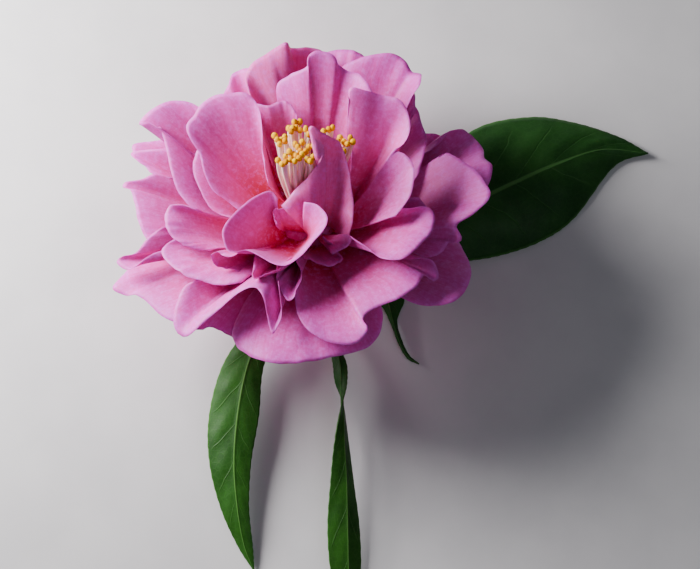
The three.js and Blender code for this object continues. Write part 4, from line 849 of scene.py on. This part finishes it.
def petal_material():
    """Petal: deep red at the root, through rose, to a lavender-pink rim, with fine veins that fan out
    along the petal, a papery mottle, and a satin sheen of tiny papillae. The deep red at the root is
    partly painted glow and shade of the deep bloom, the lavender towards the rim and a paler band along it
    are partly painted cool sheen, and a paler tone paints light on petals that stand in shade."""
    s = Shader("petal_satin")
    u, v = s.uv()
    place, tone = s.place(), s.tone()
    drift = s.noise(place, 60.0, 2.0) - 0.5
    # partly the petal's own colour and partly painted: the deep red at the root stands in for red glow and
    # shade deep in the bloom, the lavender towards the rim for a cool sheen of light
    depths = s.ramp(v + drift * 0.35 + tone * -0.3, [
        (0.05, (0.38, 0.003, 0.010)), (0.26, (0.62, 0.012, 0.070)), (0.44, (0.72, 0.056, 0.280)),
        (0.66, (0.74, 0.082, 0.430)), (0.86, (0.72, 0.084, 0.490)), (1.0, (0.70, 0.086, 0.520))])
    # painted light: petals whose tone is below zero are mixed towards pale rose, as light on petals that
    # stand in shade
    painted_light_pallor = s.larger(tone * -1.0, 0.0) * 0.55
    colour = s.mix(painted_light_pallor, depths, (0.96, 0.17, 0.36))
    veins = s.noise(s.vector(u * 75.0 + drift * 9.0, v * 2.2), 1.0, 4.0, 0.62)
    veined = s.mix(s.remap(veins, 0.54, 0.36) * 0.24, colour, (0.55, 0.020, 0.180))
    paler = s.remap(veins, 0.50, 0.74) * s.remap(v, 0.35, 1.0, 0.04, 0.16)
    streaked = s.mix(paler, veined, (0.80, 0.30, 0.80))
    mottle = s.noise(place, 700.0, 4.0, 0.72)
    spotted = s.mix(s.remap(mottle, 0.48, 0.32, 0.0, 0.30), streaked, (0.60, 0.025, 0.240))
    speckled = s.mix(s.remap(mottle, 0.46, 0.68, 0.0, 0.48), spotted, (0.80, 0.20, 0.76))
    # painted sheen: a faint lavender band along the rim stands in for the light that the rims catch
    with_painted_rim_sheen = s.mix(s.remap(v, 0.88, 1.0) * 0.08, speckled, (0.76, 0.20, 0.80))
    s.bump(veins * 0.5 + (mottle * 0.6 + s.noise(place, 2600.0, 2.0) * 0.2), 0.4, 0.00028)
    return s.finish(with_painted_rim_sheen, s.remap(mottle, 0.3, 0.7, 0.45, 0.60), Specular_IOR_Level=0.28,
                    Sheen_Weight=0.06, Sheen_Roughness=0.4, Sheen_Tint=(0.80, 0.60, 1.0),
                    flesh=(0.22, (1.0, 0.18, 0.45), 0.0009))


def filament_material():
    """Filament: cream at the top, flushed pink towards the foot, a little translucent."""
    s = Shader("filament_cream")
    place = s.place()
    colour = s.ramp(s.tone() + (s.noise(place, 300.0) - 0.5) * 0.3, [
        (0.1, (0.78, 0.28, 0.28)), (0.45, (0.90, 0.52, 0.48)), (0.9, (0.95, 0.72, 0.64))])
    s.bump(s.noise(place, 1800.0), 0.2, 0.0002)
    return s.finish(colour, 0.5, Specular_IOR_Level=0.4, flesh=(0.4, (1.0, 0.5, 0.35), 0.001))


def anther_material():
    """Anther: golden yellow grains of pollen, each anther of its own depth."""
    s = Shader("anther_pollen")
    place = s.place()
    grain = s.noise(place, 3200.0, 2.0)
    colour = s.ramp(s.noise(place, 700.0, 2.0) * 0.6 + s.tone() * 0.4, [
        (0.2, (0.60, 0.22, 0.0)), (0.5, (0.84, 0.44, 0.0)), (0.8, (0.90, 0.57, 0.0))])
    s.bump(grain, 0.6, 0.0003)
    return s.finish(colour, s.remap(grain, 0.3, 0.7, 0.75, 0.95), Specular_IOR_Level=0.08,
                    flesh=(0.15, (1.0, 0.6, 0.2), 0.0006))


def pistil_material():
    """Pistil: pale green and cream in soft blotches."""
    s = Shader("pistil_pale")
    place = s.place()
    colour = s.mix(s.remap(s.noise(place, 240.0)), (0.62, 0.66, 0.32), (0.80, 0.72, 0.44))
    s.bump(s.noise(place, 1500.0), 0.2, 0.0002)
    return s.finish(colour, 0.5, flesh=(0.3, (0.8, 0.9, 0.4), 0.001))


def sepal_material():
    """Sepal: olive green with a browner, drier rim and silky short hairs as a sheen."""
    s = Shader("sepal_silky")
    u, v = s.uv()
    streaks = s.noise(s.vector(u * 40.0, v), 1.0, 4.0)
    edge = s.remap(v + (streaks - 0.5) * 0.2, 0.8, 1.0)
    green = s.mix(s.remap(streaks), (0.16, 0.24, 0.06), (0.30, 0.36, 0.12))
    s.bump(streaks, 0.4, 0.0004)
    return s.finish(s.mix(edge, green, (0.26, 0.15, 0.06)), 0.55, Sheen_Weight=0.3, Sheen_Roughness=0.4,
                    flesh=(0.15, (0.5, 0.8, 0.2), 0.001))


def bark_material():
    """Young bark: grey-brown with fine lengthwise cracks and pale pores."""
    s = Shader("bark_young")
    u, v = s.uv()
    cracks = s.noise(s.vector(u * 18.0, v * 26.0), 1.0, 5.0, 0.7)
    pores = s.remap(s.noise(s.place(), 900.0, 1.0), 0.66, 0.72)
    colour = s.ramp(cracks, [
        (0.3, (0.07, 0.045, 0.025)), (0.55, (0.20, 0.14, 0.085)), (0.8, (0.32, 0.26, 0.18))])
    s.bump(cracks + pores * 0.5, 0.7, 0.0006)
    return s.finish(s.mix(pores * 0.6, colour, (0.42, 0.36, 0.27)), 0.8)


def leaf_veins(s, u, v):
    """How much of the midrib and of the side veins shows at a spot: the side veins leave the midrib at a
    slant, curve forward, and run out before the edge; a net of finer ones lies between them."""
    place = s.place()
    side = abs(v * 2.0 - 1.0)
    wander = (s.noise(place, 70.0, 2.0) - 0.5) * 0.5
    phase = u * float(SIDE_VEINS) - side**0.8 * VEIN_SLANT + wander
    wave = abs(s.math("FRACT", phase) - 0.5)
    side_veins = s.remap(wave, 0.035, 0.0) * s.remap(side, 0.95, 0.6)
    net = s.node("TexVoronoi", inputs={"Vector": place, "Scale": 620.0}, feature="DISTANCE_TO_EDGE")
    return s.remap(side, 0.045, 0.015), side_veins, s.remap(net, 0.12, 0.0), side


def leaf_material(name, dark, light, vein, shine, relief):
    """Leaf face: mottled green with paler midrib, side veins and net, sunk or raised by `relief`."""
    s = Shader(name)
    place = s.place()
    midrib, side_veins, net, side = leaf_veins(s, *s.uv())
    green = s.mix(s.remap(s.noise(place, 90.0, 4.0)), dark, light)
    shown = s.larger(s.larger(midrib * 0.8, side_veins * 0.22), net * 0.06)
    colour = s.mix(s.larger(shown, s.remap(side, 0.95, 1.0) * 0.6), green, vein)
    relief_height = s.larger(midrib, side_veins) * (0.5 * relief) + (
        net * (0.06 * relief) + s.noise(place, 380.0, 3.0) * 0.25)
    s.bump(relief_height, 0.5, 0.0004)
    return s.finish(colour, s.remap(s.noise(place, 160.0), 0.3, 0.7, shine, shine + 0.14),
                    Specular_IOR_Level=0.10, flesh=(0.12, (0.4, 1.0, 0.15), 0.001))


def floor_material():
    """A plain pale surface with a breath of unevenness."""
    s = Shader("pale_surface")
    cloud = s.remap(s.noise(s.place(), 30.0, 4.0))
    return s.finish(s.mix(cloud, (0.60, 0.60, 0.60), (0.66, 0.66, 0.655)), 0.75)


# ---- camera, lights and surface ----

def place_camera():
    """The camera a metre out along the face's z, level with the middle of the frame."""
    eye = to_part(np.array([CAMERA_X, CAMERA_Y, CAMERA_DISTANCE]))
    camera = new_object("camera", bpy.data.cameras.new("camera"))
    camera.matrix_world = Matrix.Translation(Vector(eye)) @ Matrix.Rotation(SURFACE_LEAN, 4, "X")
    camera.data.sensor_width = SENSOR_WIDTH
    camera.data.lens = SENSOR_WIDTH * CAMERA_DISTANCE / VIEW_WIDTH
    camera.data.clip_end = CLIP_END
    bpy.context.scene.camera = camera


def soft_light(name, direction, distance, size, power, colour):
    """A square soft light, at a distance in metres from the heart in a direction of the face frame, that
    looks at the heart."""
    light = bpy.data.lights.new(name, "AREA")
    light.size, light.energy, light.color = size, power, colour
    heart = to_part(np.zeros(3))
    toward = to_part(unit(np.array(direction, float)) * distance / MM) - heart
    aim = Vector(toward).to_track_quat("Z", "Y").to_matrix().to_4x4()
    new_object(name, light).matrix_world = Matrix.Translation(Vector(heart + toward)) @ aim


def make_floor():
    """The surface that the flower lies on."""
    mesh = bpy.data.meshes.new("floor")
    r = FLOOR_REACH
    mesh.from_pydata([(-r, -r, 0), (r, -r, 0), (r, r, 0), (-r, r, 0)], [], [(0, 1, 2, 3)])
    mesh.materials.append(floor_material())
    new_object("floor", mesh)


def light_the_scene():
    """A soft key from the upper left, a faint cool fill from the right and an even pale room."""
    soft_light("key", (-0.84, 0.50, 0.36), distance=0.26, size=0.16, power=2.6, colour=(1.0, 0.96, 0.98))
    soft_light("fill", (0.5, -0.2, 0.9), distance=0.8, size=0.5, power=0.8, colour=(0.84, 0.86, 1.0))
    world = bpy.data.worlds.new("room")
    world.use_nodes = True
    room = world.node_tree.nodes["Background"].inputs
    room["Color"].default_value = (0.9, 0.92, 1.0, 1)
    room["Strength"].default_value = 0.08
    bpy.context.scene.world = world


# ---- the part ----

place_camera()
make_floor()
light_the_scene()

satin = petal_material()
petals = [make_petals(name, ring, satin) for name, ring in
          (("petals_inner", INNER), ("petals_middle", MIDDLE), ("petals_outer", OUTER))]
make_receptacle(satin)

paths = clear_of(filament_paths(), petals, room=0.5 * MM)
make_filaments(paths, filament_material())
make_anthers(paths, anther_material())
make_pistil(pistil_material())
make_calyx(sepal_material())
make_twig(bark_material())

upper = leaf_material("leaf_glossy", dark=(0.011, 0.052, 0.010), light=(0.021, 0.088, 0.016),
                      vein=(0.08, 0.22, 0.055), shine=0.40, relief=-1.0)
under = leaf_material("leaf_underside", dark=(0.012, 0.058, 0.006), light=(0.022, 0.098, 0.010),
                      vein=(0.10, 0.26, 0.05), shine=0.40, relief=1.0)
stalk = leaf_material("leaf_stalk", dark=(0.10, 0.20, 0.06), light=(0.16, 0.26, 0.08),
                      vein=(0.2, 0.3, 0.12), shine=0.4, relief=0.4)
for name, shape in LEAVES.items():
    make_leaf(name, shape, [upper, under, stalk])
